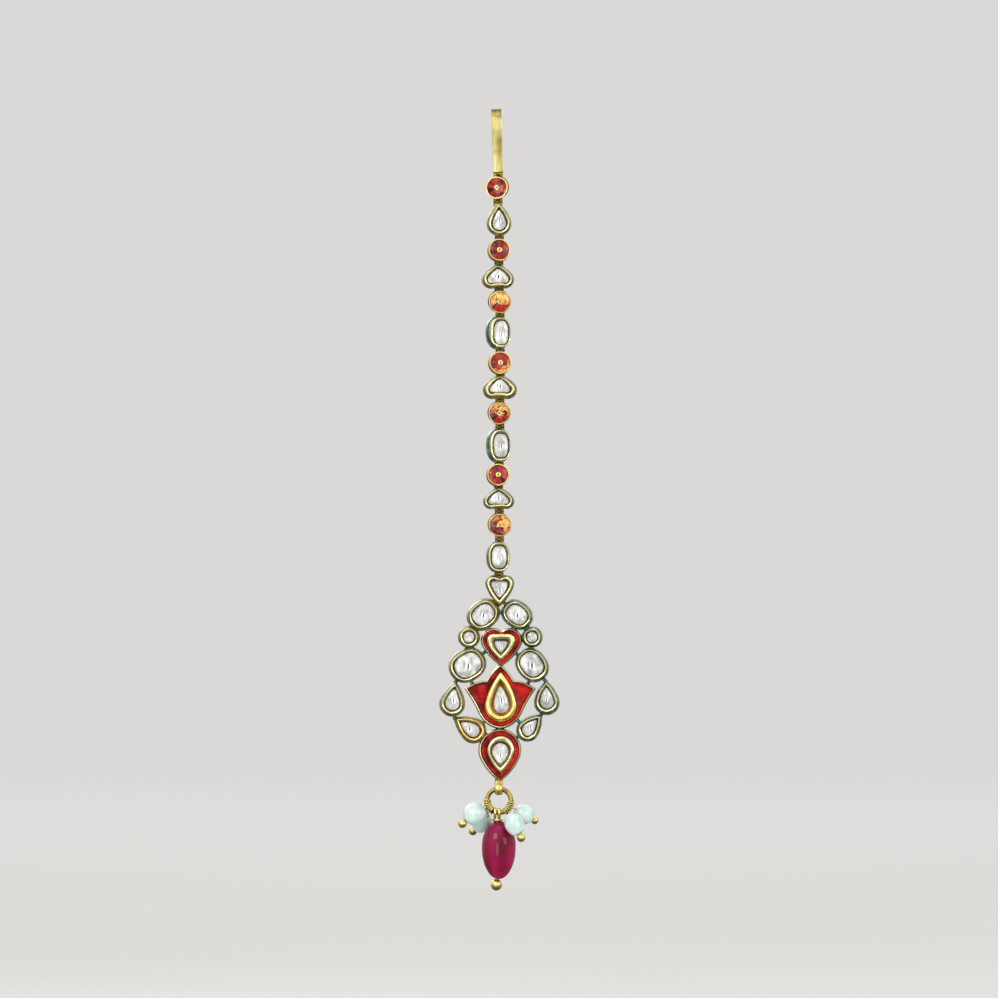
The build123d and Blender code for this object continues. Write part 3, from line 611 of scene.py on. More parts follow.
# polki links between them: shape, x, z, r, spread, tip, roll, yaw; the stone's own r, spread and tip;
# how far the enamel has worn off the sides, and how far the stone sits to the right
polkiLinks = (
    ("pear", 0.05, -21.3, 2.23, 0, 3.85, 2, 2, (1.36, 0, 2.75), 0.7, 0.05),
    ("heart", -0.19, -31.96, 1.6, 1.345, 2.84, 1, 1, (0.8, 1.3, 2.15), 0.48, 0.05),
    ("oval", 0.14, -42.06, 2.25, 0, 3.05, 0, 12, (1.45, 0, 2.35), 0.3, 0.42),
    ("heart", 0.19, -52.9, 1.65, 1.485, 2.78, 0, 1, (0.62, 1.38, 2.15), 0.5, 0.0),
    ("oval", 0.2, -63.49, 2.2, 0, 3.2, 0, 13, (1.5, 0, 2.36), 0.3, 0.3),
    ("heart", -0.09, -74.1, 1.35, 1.5, 2.66, 1, -1, (0.62, 1.4, 2.05), 0.45, 0.0),
    ("oval", 0.0, -84.67, 2.2, 0, 3.02, 0, 10, (1.5, 0, 2.2), 0.3, 0.15),
)

# the top of the pendant and the foot of the hook, where the line's first and last hinges are
topHeart = {"z": -89.69, "r": 1.6}
hookFoot = {"x": -0.52, "lean": 1.8, "z": -12.45}


def hingeList():
    # x and z of each pin, from the links that meet there
    spans = []
    for roundLink, polki in zip(roundLinks, polkiLinks):
        x, z, r = roundLink["at"][:3]
        spans.append((x, z + r, z - r))
        shape, x, z, r, _, tip = polki[:6]
        spans.append((x, z + tip, z - (tip if shape == "oval" else r)))
    lean = math.sin(math.radians(hookFoot["lean"]))
    found = [(hookFoot["x"] - lean * hookFoot["z"], hookFoot["z"])]
    for above, below in zip(spans, spans[1:]):
        found.append(((above[0] + below[0]) / 2, (above[2] + below[1]) / 2))
    found.append((0, (spans[-1][2] + topHeart["z"] + topHeart["r"]) / 2))
    return found


# a round link's drum: inset from the wall, height, finish and painted shade, dark in its creases and beside
# the stone
drumProfile = (
    (0.3, 0.0, 2, 0.3), (0.05, 0.02, 2, 0.2), (0.0, 0.08, 2, 0.0), (0.0, 0.42, 2, 0.0),
    (0.05, 0.49, 2, 0.2), (0.12, 0.5, 2, 0.8), (0.13, 0.56, 4, 0.6), (0.12, 1.0, 4, 0.4),
    (0.1, 1.6, 4, 0.2), (0.04, 1.8, 4, 0.0), (0.03, 1.92, 4, 0.0), (0.08, 2.0, 4, 0.0),
    (0.23, 2.01, 4, 0.0), (0.3, 1.94, 4, 0.0), (0.32, 1.83, 4, 0.4), (0.325, 1.5, 4, 0.9),
    (0.7, 1.4, 4, 1.0),
)
drumWave = {"above": 1.6, "rim": (0.02, 0.04), "wall": (0.008, 0)}       # unevenness sideways and upward
roundStone = {"inset": 0.335, "jitter": 0.07, "slide": 1.5,
              "rings": ((1.0, 1.3, 18, 0), (1.0, 1.74, 18, 0), (0.68, 1.86, 9, 1), (0.3, 1.92, 9, 1))}
rivet = {"radius": 0.5, "head": 0.6, "wave": 0.1,
         "profile": ((1.1, 1.6), (1.05, 1.93), (0.92, 2.02), (0.62, 2.06), (0.4, 2.03), (0.28, 1.94))}


def addDrum(bm, r, number, place):
    rings, disc = [], outline("round", r)
    for inset, height, finish, shadeAndWear in drumProfile:
        wave, lift = drumWave["rim" if height > drumWave["above"] else "wall"]
        points, heights = [], []
        for i, (u, v) in enumerate(disc):
            grow = 1 + wave * wander(number, i / len(disc)) - inset / r
            points.append((u * grow, v * grow))
            heights.append(height + lift * wander(number + 3, i / len(disc), 2.0))
        rings.append((points, heights, finish, shadeAndWear))
    loft(bm, rings, place)


def addRivet(bm, rays, number, place):
    rings, dome = [], outline("round", rivet["radius"])
    count, reach = rays
    for share, height in rivet["profile"]:
        points = []
        for i, (u, v) in enumerate(dome):
            turned = i / len(dome)
            rayed = count and share > rivet["head"]
            ray = reach * max(0, math.cos(count * math.tau * turned)) ** 3 if rayed else 0
            grow = share * (1 + rivet["wave"] * wander(number + 11, turned, 1.5)) + ray / rivet["radius"]
            points.append((u * grow, v * grow))
        rings.append((points, height, 4, 0.6 if share < 0.3 else 0.0))
    loft(bm, rings, place)


def makeRoundStone(number, size, link, place):
    bm = startPiece()
    local, foil = bm.verts.layers.float_vector["local"], bm.verts.layers.float["foil"]
    for ring, (share, height, corners, uneven) in enumerate(roundStone["rings"]):
        for i, vert in enumerate(bmesh.ops.create_circle(bm, segments=corners, radius=size * share)["verts"]):
            bob = uneven * roundStone["jitter"] * chance(i * 2.7, ring * 4.1, number * 3.1)
            slide = 1 + bob * roundStone["slide"]
            vert.co = (vert.co[0] * slide, vert.co[1] * slide, height + bob)
            vert[local] = vert.co
            vert[foil] = link["foil"]
    closeStone(bm, place)
    finishPiece(bm, f"roundStone{number}", "line", [f"round_stone_{number}"], ["foiledRuby"],
                smooth=0, uvSize=(size, size), turnUv=90 - link["side"])


def makeRoundLink(number, link, above, below):
    x, z, r, yaw, pitch = link["at"]
    place = facing(x, z, 0, yaw, pitch)
    bm = startPiece()
    addDrum(bm, r, number, place)
    addRivet(bm, link["rays"], number, place)
    addEars(bm, *above)
    addKnuckle(bm, *below)
    finishPiece(bm, f"roundSetting{number}", "line", [f"round_setting_{number}"], settingFinishes)
    makeRoundStone(number, r - roundStone["inset"], link, place)


def makePolkiLink(number, link, above, below):
    shape, x, z, r, spread, tip, roll, yaw, stone, worn, aside = link
    place = facing(x, z, roll, yaw)
    square = sizes["ovalSquare"] if shape == "oval" else 2.0
    wall = "shield" if shape == "heart" else shape       # the hearts' walls run straight under their lobes
    flare = sizes["linkFlare"] if number < len(polkiLinks) else 0        # the last must clear the pendant
    cut = (shape, *stone, square + sizes["linkStoneSquare"])
    seed = number * 1.3
    bm = startPiece()
    outer = outline(wall, r, spread, tip, square)
    wide = outline(wall, r, spread, tip, square, grow=flare)
    inner = [(u + aside, v) for u, v in outline(*cut)]
    loft(bm, settingRings(outer, inner, polkiProfile, seed, wide), place, worn=worn)
    addEars(bm, *above)
    addKnuckle(bm, *below)
    finishPiece(bm, f"polkiSetting{number}", "line", [f"polki_setting_{number}"],
                settingFinishes)
    makePolkiStone(f"polkiStone{number}", f"polki_stone_{number}", "line",
                   place @ Matrix.Translation((aside, 0, 0)), cut, seed)


hinges = hingeList()
for number in range(1, 8):
    above, middle, below = hinges[2 * number - 2:2 * number + 1]
    makeRoundLink(number, roundLinks[number - 1], above, middle)
    makePolkiLink(number, polkiLinks[number - 1], middle, below)
print("links made")

# hair hook: flat strip, sprung legs, foot turned back and curled round the first pin
hook = {"width": 1.85, "thick": 0.45, "inner": 1.8, "back": 9.24, "flare": 0.35, "flareLength": 1.6,
        "front": -12.1, "bend": 0.5, "curl": 0.575, "turn": 250, "curlWidth": 1.0, "curlStart": -0.7,
        "bevel": 0.09, "bow": 0.03,
        # heights and darkening down the front leaf: painted shade with brown scratches over the bend, a clean
        # band, long scratches, clean foot
        "shadeAndScratches": ((1.0, 1.0), (0.1, 1.0), (-0.4, 0.6), (-1.4, 0.6), (-1.7, 0.0), (-3.3, 0.0), (-3.9, 0.5),
                 (-7.8, 0.45), (-8.6, 0.1), (-13.0, 0.0)), "spots": 0.8}


def limited(value):
    return min(1.0, max(0.0, value))


def darkeningAt(height):
    marks = hook["shadeAndScratches"]
    above, below = next(((a, b) for a, b in zip(marks, marks[1:]) if height >= b[0]), marks[-2:])
    return above[1] + (below[1] - above[1]) * limited((above[0] - height) / (above[0] - below[0]))


def makeHook():
    # the strip's end section, pushed and bent along its run
    bm = startPiece()
    half, thick = hook["width"] / 2, hook["thick"]
    middle = hook["inner"] + thick / 2
    foot = hook["front"] + thick / 2
    verts = [bm.verts.new((x, middle + hook["flare"] + y, -hook["back"]))
             for x, y in ((-half, -thick / 2), (half, -thick / 2), (half, thick / 2), (-half, thick / 2))]
    bm.faces.new(verts)
    geom = list(bm.verts) + list(bm.edges) + list(bm.faces)

    def onward(vec, steps):
        nonlocal geom
        for _ in range(steps):
            grown = bmesh.ops.extrude_face_region(bm, geom=geom)["geom"]
            old = [item for item in geom if isinstance(item, bmesh.types.BMFace)]
            bmesh.ops.translate(bm, vec=Vector(vec) / steps, verts=vertsOf(grown))
            if len(bm.faces) > 6:                # the first section stays as the end cap
                bmesh.ops.delete(bm, geom=[f for f in old if f.is_valid], context="FACES_ONLY")
            geom = grown

    def bend(cent, angle, steps):
        nonlocal geom
        geom = bmesh.ops.spin(bm, geom=geom, cent=cent, axis=(1, 0, 0), dvec=(0, 0, 0), steps=steps,
                              angle=math.radians(angle), use_merge=False, use_duplicate=False)["geom_last"]

    onward((0, -2 * hook["flare"], hook["flareLength"]), 3)
    onward((0, hook["flare"], hook["back"] - hook["flareLength"] - hook["inner"]), 8)
    bend((0, 0, -hook["inner"]), 180, 24)
    onward((0, 0, foot + hook["bend"] + hook["inner"]), 30)
    bend((0, -middle + hook["bend"], foot + hook["bend"]), 90, 8)
    onward((0, sizes["axis"] + middle - hook["bend"], 0), 4)
    bend((0, sizes["axis"], foot - hook["curl"]), -hook["turn"], 24)
    bmesh.ops.remove_doubles(bm, verts=bm.verts, dist=0.001)
    for vert in bm.verts:
        if vert.co.z < foot + thick and vert.co.y > hook["curlStart"]:
            vert.co.x *= hook["curlWidth"] / hook["width"]
    bmesh.ops.recalc_face_normals(bm, faces=bm.faces)
    sharp = [edge for edge in bm.edges if edge.is_manifold and edge.calc_face_angle(0) > math.radians(60)]
    bmesh.ops.bevel(bm, geom=sharp, offset=hook["bevel"], affect="EDGES", segments=3, profile=0.5,
                    material=-1)
    shadeAndWear = bm.verts.layers.float["shadeAndWear"]
    for vert in bm.verts:
        x, y, z = vert.co
        # painted shade over the bend, brown scratches below it, spotted unevenly
        vert[shadeAndWear] = limited(darkeningAt(z) * (1 + hook["spots"] * chance(x * 1.2, y, z * 0.8)))
        vert.co.x += hook["bow"] * chance(0.0, y * 0.5, z * 0.45)
    lean = Matrix.Rotation(math.radians(-hookFoot["lean"]), 4, "Y")
    bmesh.ops.transform(bm, matrix=Matrix.Translation((hookFoot["x"], 0, 0)) @ lean, verts=bm.verts)
    finishPiece(bm, "hairHook", "line", ["hair_hook"], ["hookGold"], smooth=40)


makeHook()
print("hook made")

# pendant settings: shape, x, z, r, spread, tip, roll; the stone's x, z, r, spread, tip;
# how worn its enamel is, and the finish of its rim
pendantSettings = {
    "top_heart": (("heart", 0.14, -89.69, 1.6, 1.155, 4.4, 180), (0.12, -89.8, 0.66, 1.0, 2.75), 0.6, 0),
    "upper_oval_left": (("oval", -2.95, -95.6, 3.0, 0, 2.4, 40), (-3.0, -95.6, 2.2, 0, 1.85), 0.5, 0),
    "upper_oval_right": (("oval", 3.42, -95.6, 2.85, 0, 2.25, -38), (3.42, -95.6, 2.1, 0, 1.7), 0.3, 0),
    "small_round_left": (("round", -5.7, -99.87, 1.9, 0, 0, 0), (-5.7, -99.87, 1.08, 0, 0), 0.5, 0),
    "small_round_right": (("round", 6.27, -99.87, 1.82, 0, 0, 0), (6.27, -99.87, 1.05, 0, 0), 0.25, 0),
    "large_oval_left": (("oval", -5.98, -105.19, 3.45, 0, 2.88, 33), (-5.9, -105.19, 2.65, 0, 2.2), 0.5, 0),
    "large_oval_right": (("oval", 6.27, -105.19, 3.2, 0, 2.65, -50), (6.2, -105.05, 2.45, 0, 2.0), 0.25, 0),
    "outer_pear_left": (("pear", -8.9, -112.55, 2.25, 0, 4.1, -8.9), (-8.85, -112.4, 1.42, 0, 2.9), 0.5, 0),
    "outer_pear_right": (("pear", 9.07, -112.27, 2.23, 0, 4.08, 3.3), (9.1, -112.1, 1.38, 0, 2.9), 0.25, 0),
    "lower_pear_left": (("pear", -4.85, -117.65, 2.25, 0, 4.25, 56.5), (-4.9, -117.6, 1.3, 0, 3.0), 0.65, 4),
    "lower_pear_right": (("pear", 5.45, -117.55, 2.0, 0, 3.8, -41.6), (5.5, -117.45, 1.2, 0, 2.65), 0.2, 0),
}

# those whose sides spread more or less than the rest
pendantFlare = {"top_heart": 0, "upper_oval_left": 1.4, "upper_oval_right": 1.4}

# enamelled forms: tray, the setting that stands in it and its stone, each shape, x, z, r, spread, tip, roll
enamelled = {
    "heart": {"tray": ("heart", 0.475, -100.5, 2.15, 1.55, 4.65, 180), "wall": 0.23, "rim": 0, "worn": 0.4,
              "shield": ("shield", 0.38, -100.4, 1.25, 1.5, 3.95, 180),
              "stone": ("shield", 0.38, -101.0, 0.45, 0.76, 1.9, 180)},
    "tulip": {"wall": 0.055, "rim": 4, "worn": 0.5, "shield": ("pear", 0.33, -112.93, 3.05, 0, 6.6, 0),
              "stone": ("pear", 0.45, -112.85, 1.5, 0, 3.95, 3)},
    "pear": {"tray": ("pear", 0.14, -121.3, 3.83, 0, 5.8, 180), "wall": 0.18, "rim": 0, "worn": 0.3,
             "shield": ("pear", 0.35, -121.2, 2.6, 0, 4.6, 180),
             "stone": ("pear", 0.25, -121.55, 1.6, 0, 2.6, 180)},
}
# the tulip's tray: half width and height from its top point down to its foot, in four curves,
# and how far down each of them ends
tulip = {"x": 0.22, "z": -111.0, "flare": 1.05, "ends": (0.0, 0.22, 0.46, 0.7, 1.0), "half": (
    (0.0, -105.2), (1.4, -106.55), (2.5, -108.25), (4.6, -108.62), (6.6, -109.7), (5.15, -111.84),
    (4.0, -114.1), (2.4, -116.2), (0.0, -117.12))}


def tulipOutline(scale=1.0):
    ends, half = tulip["ends"], [Vector(p) for p in tulip["half"]]
    points = []
    for i in range(sizes["points"]):
        share = 2 * i / sizes["points"]
        side, at = (1, share) if share <= 1 else (-1, 2 - share)
        run = min(sum(at > end for end in ends[1:]), len(ends) - 2)
        t = (at - ends[run]) / (ends[run + 1] - ends[run])
        a, b, c = half[2 * run:2 * run + 3]
        spot = a * (2 * t - 1) * (t - 1) + b * 4 * t * (1 - t) + c * t * (2 * t - 1)
        points.append((side * spot[0] * scale, (spot[1] - tulip["z"]) * scale))
    return points


def localOutline(row, home, square=2.0, grow=0.0):
    # a row's outline in the local frame of another place
    shape, x, z, r, spread, tip, roll = row
    move = home.inverted() @ facing(x, z, roll)
    return [tuple((move @ Vector((u, v, 0)))[:2]) for u, v in outline(shape, r, spread, tip, square, grow)]


# share of the way from the wall to the tray's inner edge, height, finish and painted shade, dark in the
# crease under the rim and at the inner edge
trayProfile = (
    (1.2, 0.0, 2, 0.3), (0.3, 0.02, 2, 0.5), (0.0, 0.12, 1, 0.0), (0.0, 0.7, 1, 0.0),
    (0.0, 1.05, 1, 0.1), (0.08, 1.15, 0, 0.7), (0.12, 1.25, 0, 0.1), (0.3, 1.33, 0, 0.0),
    (0.55, 1.34, 0, 0.0), (0.8, 1.28, 0, 0.1), (1.0, 1.14, 0, 0.9), (1.0, 0.9, 0, 1.0),
    (1.6, 0.86, 0, 1.0))
# the settings that stand in the trays, with the same columns as polkiProfile
shieldProfile = (
    (0.0, 0.8, 0, 0.8, 0.0, 0.0), (0.0, 1.2, 0, 0.7, 0.02, 0.0), (0.02, 1.45, 0, 0.2, 0.02, 0.3),
    (0.08, 1.68, 0, 0.0, 0.03, 0.8), (0.2, 1.85, 0, 0.0, 0.03, 1.0), (0.36, 1.92, 0, 0.0, 0.04, 1.0),
    (0.52, 1.9, 0, 0.0, 0.05, 1.0), (0.62, 1.8, 0, 0.1, 0.06, 0.8), (0.7, 1.6, 0, 0.45, 0.05, 0.3),
    (0.8, 1.42, 0, 0.9, 0.0, 0.0), (1.0, 1.34, 0, 1.0, 0.0, 0.0), (1.3, 1.28, 0, 1.0, 0.0, 0.0))
# share from the tray's inner edge to the shield, height and painted shade of the enamel, darkest where it
# meets the walls
enamelProfile = (
    (0.0, 0.95, 1.0), (0.0, 1.15, 1.0), (0.05, 1.2, 0.7), (0.2, 1.225, 0.2), (0.45, 1.235, 0.0),
    (0.7, 1.235, 0.05), (0.92, 1.22, 0.5), (1.0, 1.2, 0.9), (1.0, 0.95, 1.0), (0.0, 0.95, 1.0))


enamelRipple = {"rise": 0.03, "waves": 2.5, "above": 0.95, "shadeAndWear": 0.9}      # none where it meets the walls


def makeEnamel(name, inner, shield, place, seed):
    bm = startPiece()
    rings = []
    for share, height, shadeAndWear in enamelProfile:
        free = height > enamelRipple["above"] and shadeAndWear < enamelRipple["shadeAndWear"]
        ripple = enamelRipple["rise"] if free else 0.0
        waves, count = enamelRipple["waves"], len(inner)
        heights = [height + ripple * wander(seed, i / count, waves) for i in range(count)]
        rings.append((between(inner, shield, share), heights, 0, shadeAndWear))
    loft(bm, rings, place, capped=False)
    finishPiece(bm, f"{name}Enamel", "pendant", [f"{name}_enamel"], ["redEnamel"], smooth=50)


# solder between neighbours, across the narrowest gap: each pair on both sides, then those in the middle
solder = {"width": 0.75, "low": 0.3, "high": 1.15, "bite": 0.35, "bevel": 0.16, "touch": 0.2, "bothSides": (
    ("top_heart", "upper_oval"), ("upper_oval", "small_round"), ("upper_oval", "heart"),
    ("small_round", "large_oval"), ("large_oval", "heart"), ("large_oval", "outer_pear"),
    ("large_oval", "tulip"), ("outer_pear", "lower_pear"), ("lower_pear", "tulip"), ("lower_pear", "pear")),
    "middle": (("upper_oval_left", "upper_oval_right"), ("heart", "tulip"), ("tulip", "pear"))}
bail = {"x": -0.05, "z": -128.7, "y": -0.45, "hole": 0.66, "radius": 1.22, "width": 1.66, "round": 0.4,
        # the neck's half width and thickness, and its share, height and painted shade on the way up, with
        # painted shadow at its top under the pear's tip
        "neck": (0.814, 0.55),
        "neckRise": ((1.0, 0.76, 0.0), (1.02, 1.2, 0.0), (0.94, 1.45, 0.3), (0.9, 1.85, 0.9))}


def addSolder(bm, one, other):
    # one and other are outlines seen from the front, in x and z
    a, b = min(((p, q) for p in one for q in other), key=lambda pair: (pair[0] - pair[1]).length)
    middles = [sum(points, Vector((0, 0, 0))) / len(points) for points in (one, other)]
    along = (b - a if (b - a).length > solder["touch"] else middles[1] - middles[0]).normalized()
    side = Vector((0, 1, 0))
    axes = Matrix((along, side, along.cross(side))).transposed().to_4x4()
    size = ((b - a).length + 2 * solder["bite"], solder["high"] - solder["low"], solder["width"], 1)
    depth = sizes["back"] - (solder["low"] + solder["high"]) / 2
    place = Matrix.Translation((a + b) / 2 + Vector((0, depth, 0))) @ axes @ Matrix.Diagonal(size)
    verts = bmesh.ops.create_cube(bm, size=1, matrix=place)["verts"]
    # painted shade: the solder between neighbours is darkened
    softened(bm, edgesOf(verts), solder["bevel"], 1, 0.5)


def addBail(bm):
    # a barrel drilled from side to side for the ring, on a short square neck
    half, rings = bail["width"] / 2, []
    bore = outline("round", bail["hole"], count=48)
    for angle in range(-80, 81, 10):
        along, reach = math.sin(math.radians(angle)), math.cos(math.radians(angle)) ** bail["round"]
        rings.append((outline("round", bail["radius"] * reach, count=48), half * along, 3, 0.0))
    end = rings[-1][1]
    # painted shade: the bore is dark inside
    rings = [(bore, -end, 3, 0.8)] + rings + [(bore, end, 3, 0.8), (bore, -end, 3, 1.0)]
    loft(bm, rings, pinAlongX(bail["x"], bail["y"], bail["z"]), capped=False)
    wide, thick = bail["neck"]
    neck = [(outline("oval", wide * share, 0, thick * share, 3.5, count=48), height, 3, shadeAndWear)
            for share, height, shadeAndWear in bail["neckRise"]]
    loft(bm, neck, Matrix.Translation((bail["x"], bail["y"], bail["z"])))


def addSetting(bm, name, row, stone, worn, rim, seed):
    # hands back the wall's outline, to solder to
    shape, x, z, r, spread, tip, roll = row
    place = facing(x, z, roll)
    square = sizes["ovalSquare"] if shape == "oval" else 2.0
    stoneSquare = square + sizes["stoneSquare"]
    inner = localOutline((shape, *stone, roll), place, stoneSquare)
    outer = outline(shape, r, spread, tip, square)
    wide = outline(shape, r, spread, tip, square, sizes["flare"] * pendantFlare.get(name, 1))
    loft(bm, settingRings(outer, inner, polkiProfile, seed, wide, rim), place, worn=worn)
    makePolkiStone(f"{name}Stone", f"{name}_stone", "pendant", facing(stone[0], stone[1], roll),
                   (shape, *stone[2:], stoneSquare), seed, roll)
    return [place @ Vector((u, v, 0)) for u, v in outer]


def addEnamelled(bm, name, form, seed):
    # tray, standing setting, enamel between them and the stone; hands back the tray's outline
    if name == "tulip":
        place = facing(tulip["x"], tulip["z"])
        outer, inner, wide = tulipOutline(), tulipOutline(1 - form["wall"]), tulipOutline(tulip["flare"])
    else:
        place = facing(*form["tray"][1:3], form["tray"][6])
        outer = localOutline(form["tray"], place)
        wide = localOutline(form["tray"], place, grow=sizes["flare"])
        inner = between(outer, localOutline(form["shield"], place), form["wall"])
    rings = []
    for share, height, finish, shadeAndWear in trayProfile:
        base = between(outer, wide, max(0.0, 1 - height / sizes["trayWall"]))
        rings.append((between(base, inner, share), height, finish or form["rim"] * (shadeAndWear > 0.8), shadeAndWear))
    loft(bm, rings, place, worn=form["worn"])
    shield, stone = localOutline(form["shield"], place), localOutline(form["stone"], place)
    loft(bm, settingRings(shield, stone, shieldProfile, seed, rim=form["rim"]), place)
    makeEnamel(name, inner, shield, place, seed)
    shape, x, z, r, spread, tip, roll = form["stone"]
    makePolkiStone(f"{name}CentreStone", f"{name}_centre_stone", "pendant", facing(x, z, roll),
                   (shape, r, spread, tip), seed, roll)
    return [place @ Vector((u, v, 0)) for u, v in outer]


def makePendant():
    bm = startPiece()
    walls = {}
    for seed, (name, row) in enumerate(pendantSettings.items(), 20):
        walls[name] = addSetting(bm, name, *row, seed)
    for seed, (name, form) in enumerate(enamelled.items(), 40):
        walls[name] = addEnamelled(bm, name, form, seed)
    for pair in solder["bothSides"]:
        for side in ("_left", "_right"):
            addSolder(bm, *(walls[name if name in walls else name + side] for name in pair))
    for one, other in solder["middle"]:
        addSolder(bm, walls[one], walls[other])
    addEars(bm, *hinges[-1])
    addBail(bm)
    finishPiece(bm, "pendantFrame", "pendant", ["pendant_frame"], settingFinishes)


makePendant()
print("pendant made")

# bead drop: ring, ruby and pearls on their pins
drop = {"y": -0.45, "ringZ": -130.97, "ringRadius": 2.27, "ringWire": 0.45}
ruby = {"x": -0.05, "top": -134.95, "height": 10.85, "uneven": 0.025,
        "outline": ((0.95, 0.0), (2.2, 1.15), (2.98, 2.8), (3.2, 5.0), (2.95, 7.3), (2.25, 9.15), (1.3, 10.4),
                    (0.5, 10.85))}
# the ruby's pin: two loops round the ring and a coil on top of the bead
rubyPin = {"wire": 0.27, "slack": 0.2, "loops": (-0.76, 0.04), "pinch": 0.75, "belly": 0.8, "shoulder": 0.35,
           "top": -0.3, "foot": -0.5, "ball": 1.1, "clear": 0.03,
           "coil": 0.78, "coilWire": 0.95, "coilTurn": 640, "coilRise": 0.16, "coilLow": 0.1}
# pearls: angle of the wrap on the ring, centre, long and cross half sizes, the way the pin points, its ball
pearls = (
    (78, (-4.7, -0.9, -133.35), 2.3, 2.15, (-0.74, -0.27, -0.62), 0.82),
    (46, (-3.3, 2.85, -135.25), 2.1, 1.92, (-0.59, 0.52, -0.60), 0.8),
    (-78, (4.78, 1.5, -133.55), 2.1, 2.03, (0.74, 0.48, -0.47), 0.72),
    (-46, (2.9, -3.15, -135.25), 2.25, 1.9, (0.44, -0.25, -0.86), 0.8),
)
# a pearl's lumps, how flat it is, and where the dimples at the ends of its drilling start
pearlShape = {"lump": 0.05, "waves": 1.1, "flat": 0.97, "dimple": 0.93}
# a pearl pin's wraps round the ring, its neck above the pearl and its ball below
wrap = {"wire": 0.15, "clear": 0.03, "turns": 3.0, "pitch": 0.42, "steps": 24, "neck": 0.12, "through": 0.1,
        "ballSeat": 0.9}
# the ring is black with painted shade between these angles from its foot, where the wraps sit, and worn
# unevenly elsewhere
ringShadeAndWear = {"from": 30, "to": 90, "shadeAndGrime": 0.95, "worn": 0.3, "uneven": 0.5, "waves": 0.8}
# how uneven a ball head is, and how dark its painted shade is round its wire, where it sits against the bead
ballHead = {"uneven": 0.035, "waves": 0.9, "darkFrom": 0.75, "dark": 3}


def addWire(bm, points, radius, shadeAndWear=0.0):
    # a round wire through points, carried from one to the next without twisting
    spots, places = [Vector(p) for p in points], []
    side = (spots[1] - spots[0]).orthogonal().normalized()
    for at, spot in enumerate(spots):
        aim = (spots[min(at + 1, len(spots) - 1)] - spots[max(at - 1, 0)]).normalized()
        side = (side - aim * side.dot(aim)).normalized()
        axes = Matrix((side, aim.cross(side), aim)).transposed().to_4x4()
        places.append(Matrix.Translation(spot) @ axes)
    loft(bm, [(outline("round", radius, count=10), 0.0, 0, shadeAndWear)] * len(spots), places)


def addBall(bm, centre, radius, aim):
    # a slightly lumpy head, with painted shade where the wire enters it, against the bead
    shadeAndWearLayer = bm.verts.layers.float["shadeAndWear"]
    verts = bmesh.ops.create_uvsphere(bm, u_segments=32, v_segments=20, radius=radius)["verts"]
    for vert in verts:
        vert[shadeAndWearLayer] = max(0, vert.co.z / radius - ballHead["darkFrom"]) * ballHead["dark"]
        vert.co *= 1 + ballHead["uneven"] * noise.noise(vert.co * ballHead["waves"] + Vector(centre))
    bmesh.ops.transform(bm, matrix=placed(centre, -Vector(aim)), verts=verts)


def makePearl(number, angle, at, long, cross, aim, ball):
    centre, aim = Vector((at[0], drop["y"] + at[1], at[2])), Vector(aim).normalized()
    bm = startPiece()
    bmesh.ops.create_icosphere(bm, subdivisions=5, radius=1)
    for vert in bm.verts:
        lump = noise.noise(vert.co * pearlShape["waves"] + Vector((number * 7.3, 0, 0))) * pearlShape["lump"]
        vert.co *= 1 + lump - max(0, abs(vert.co.z) - pearlShape["dimple"])
        vert.co = Vector((vert.co.x * cross, vert.co.y * cross * pearlShape["flat"], vert.co.z * long))
    bmesh.ops.transform(bm, matrix=placed(centre, aim), verts=bm.verts)
    finishPiece(bm, f"pearl{number}", "bead_drop", [f"pearl_{number}"], ["pearlNacre"], smooth=60)

    bm = startPiece()
    hub = Vector((0, drop["y"], drop["ringZ"]))
    loop = drop["ringWire"] + wrap["clear"] + wrap["wire"]
    points = []
    for step in range(int(wrap["turns"] * wrap["steps"]) + 1):
        turned = step / wrap["steps"]
        whole = math.floor(turned)
        # each turn lies still for its second half, so that the wraps stand side by side
        slid = whole + min(1.0, 2 * (turned - whole)) - wrap["turns"] / 2
        around = math.radians(angle) + slid * wrap["pitch"] / drop["ringRadius"]
        reach = drop["ringRadius"] + loop * math.cos(math.tau * turned)
        points.append(hub + Vector((-math.sin(around) * reach, loop * math.sin(math.tau * turned),
                                    -math.cos(around) * reach)))
    last, neck = points[-1], centre - aim * (long + wrap["neck"])
    points += [last.lerp(neck, step / 5) for step in range(1, 6)]
    points += [centre, centre + aim * (long + wrap["through"])]
    addWire(bm, points, wrap["wire"], 0.1)
    addBall(bm, centre + aim * (long + ball * wrap["ballSeat"]), ball, aim)
    finishPiece(bm, f"pearlPin{number}", "bead_drop", [f"pearl_pin_{number}"], ["wireGold"],
                smooth=50)


def turnedRound(bm, axis, steps):
    # a full turn of the outline in bm
    bmesh.ops.spin(bm, geom=list(bm.verts) + list(bm.edges), cent=(0, 0, 0), axis=axis, dvec=(0, 0, 0),
                   angle=math.tau, steps=steps, use_merge=True)


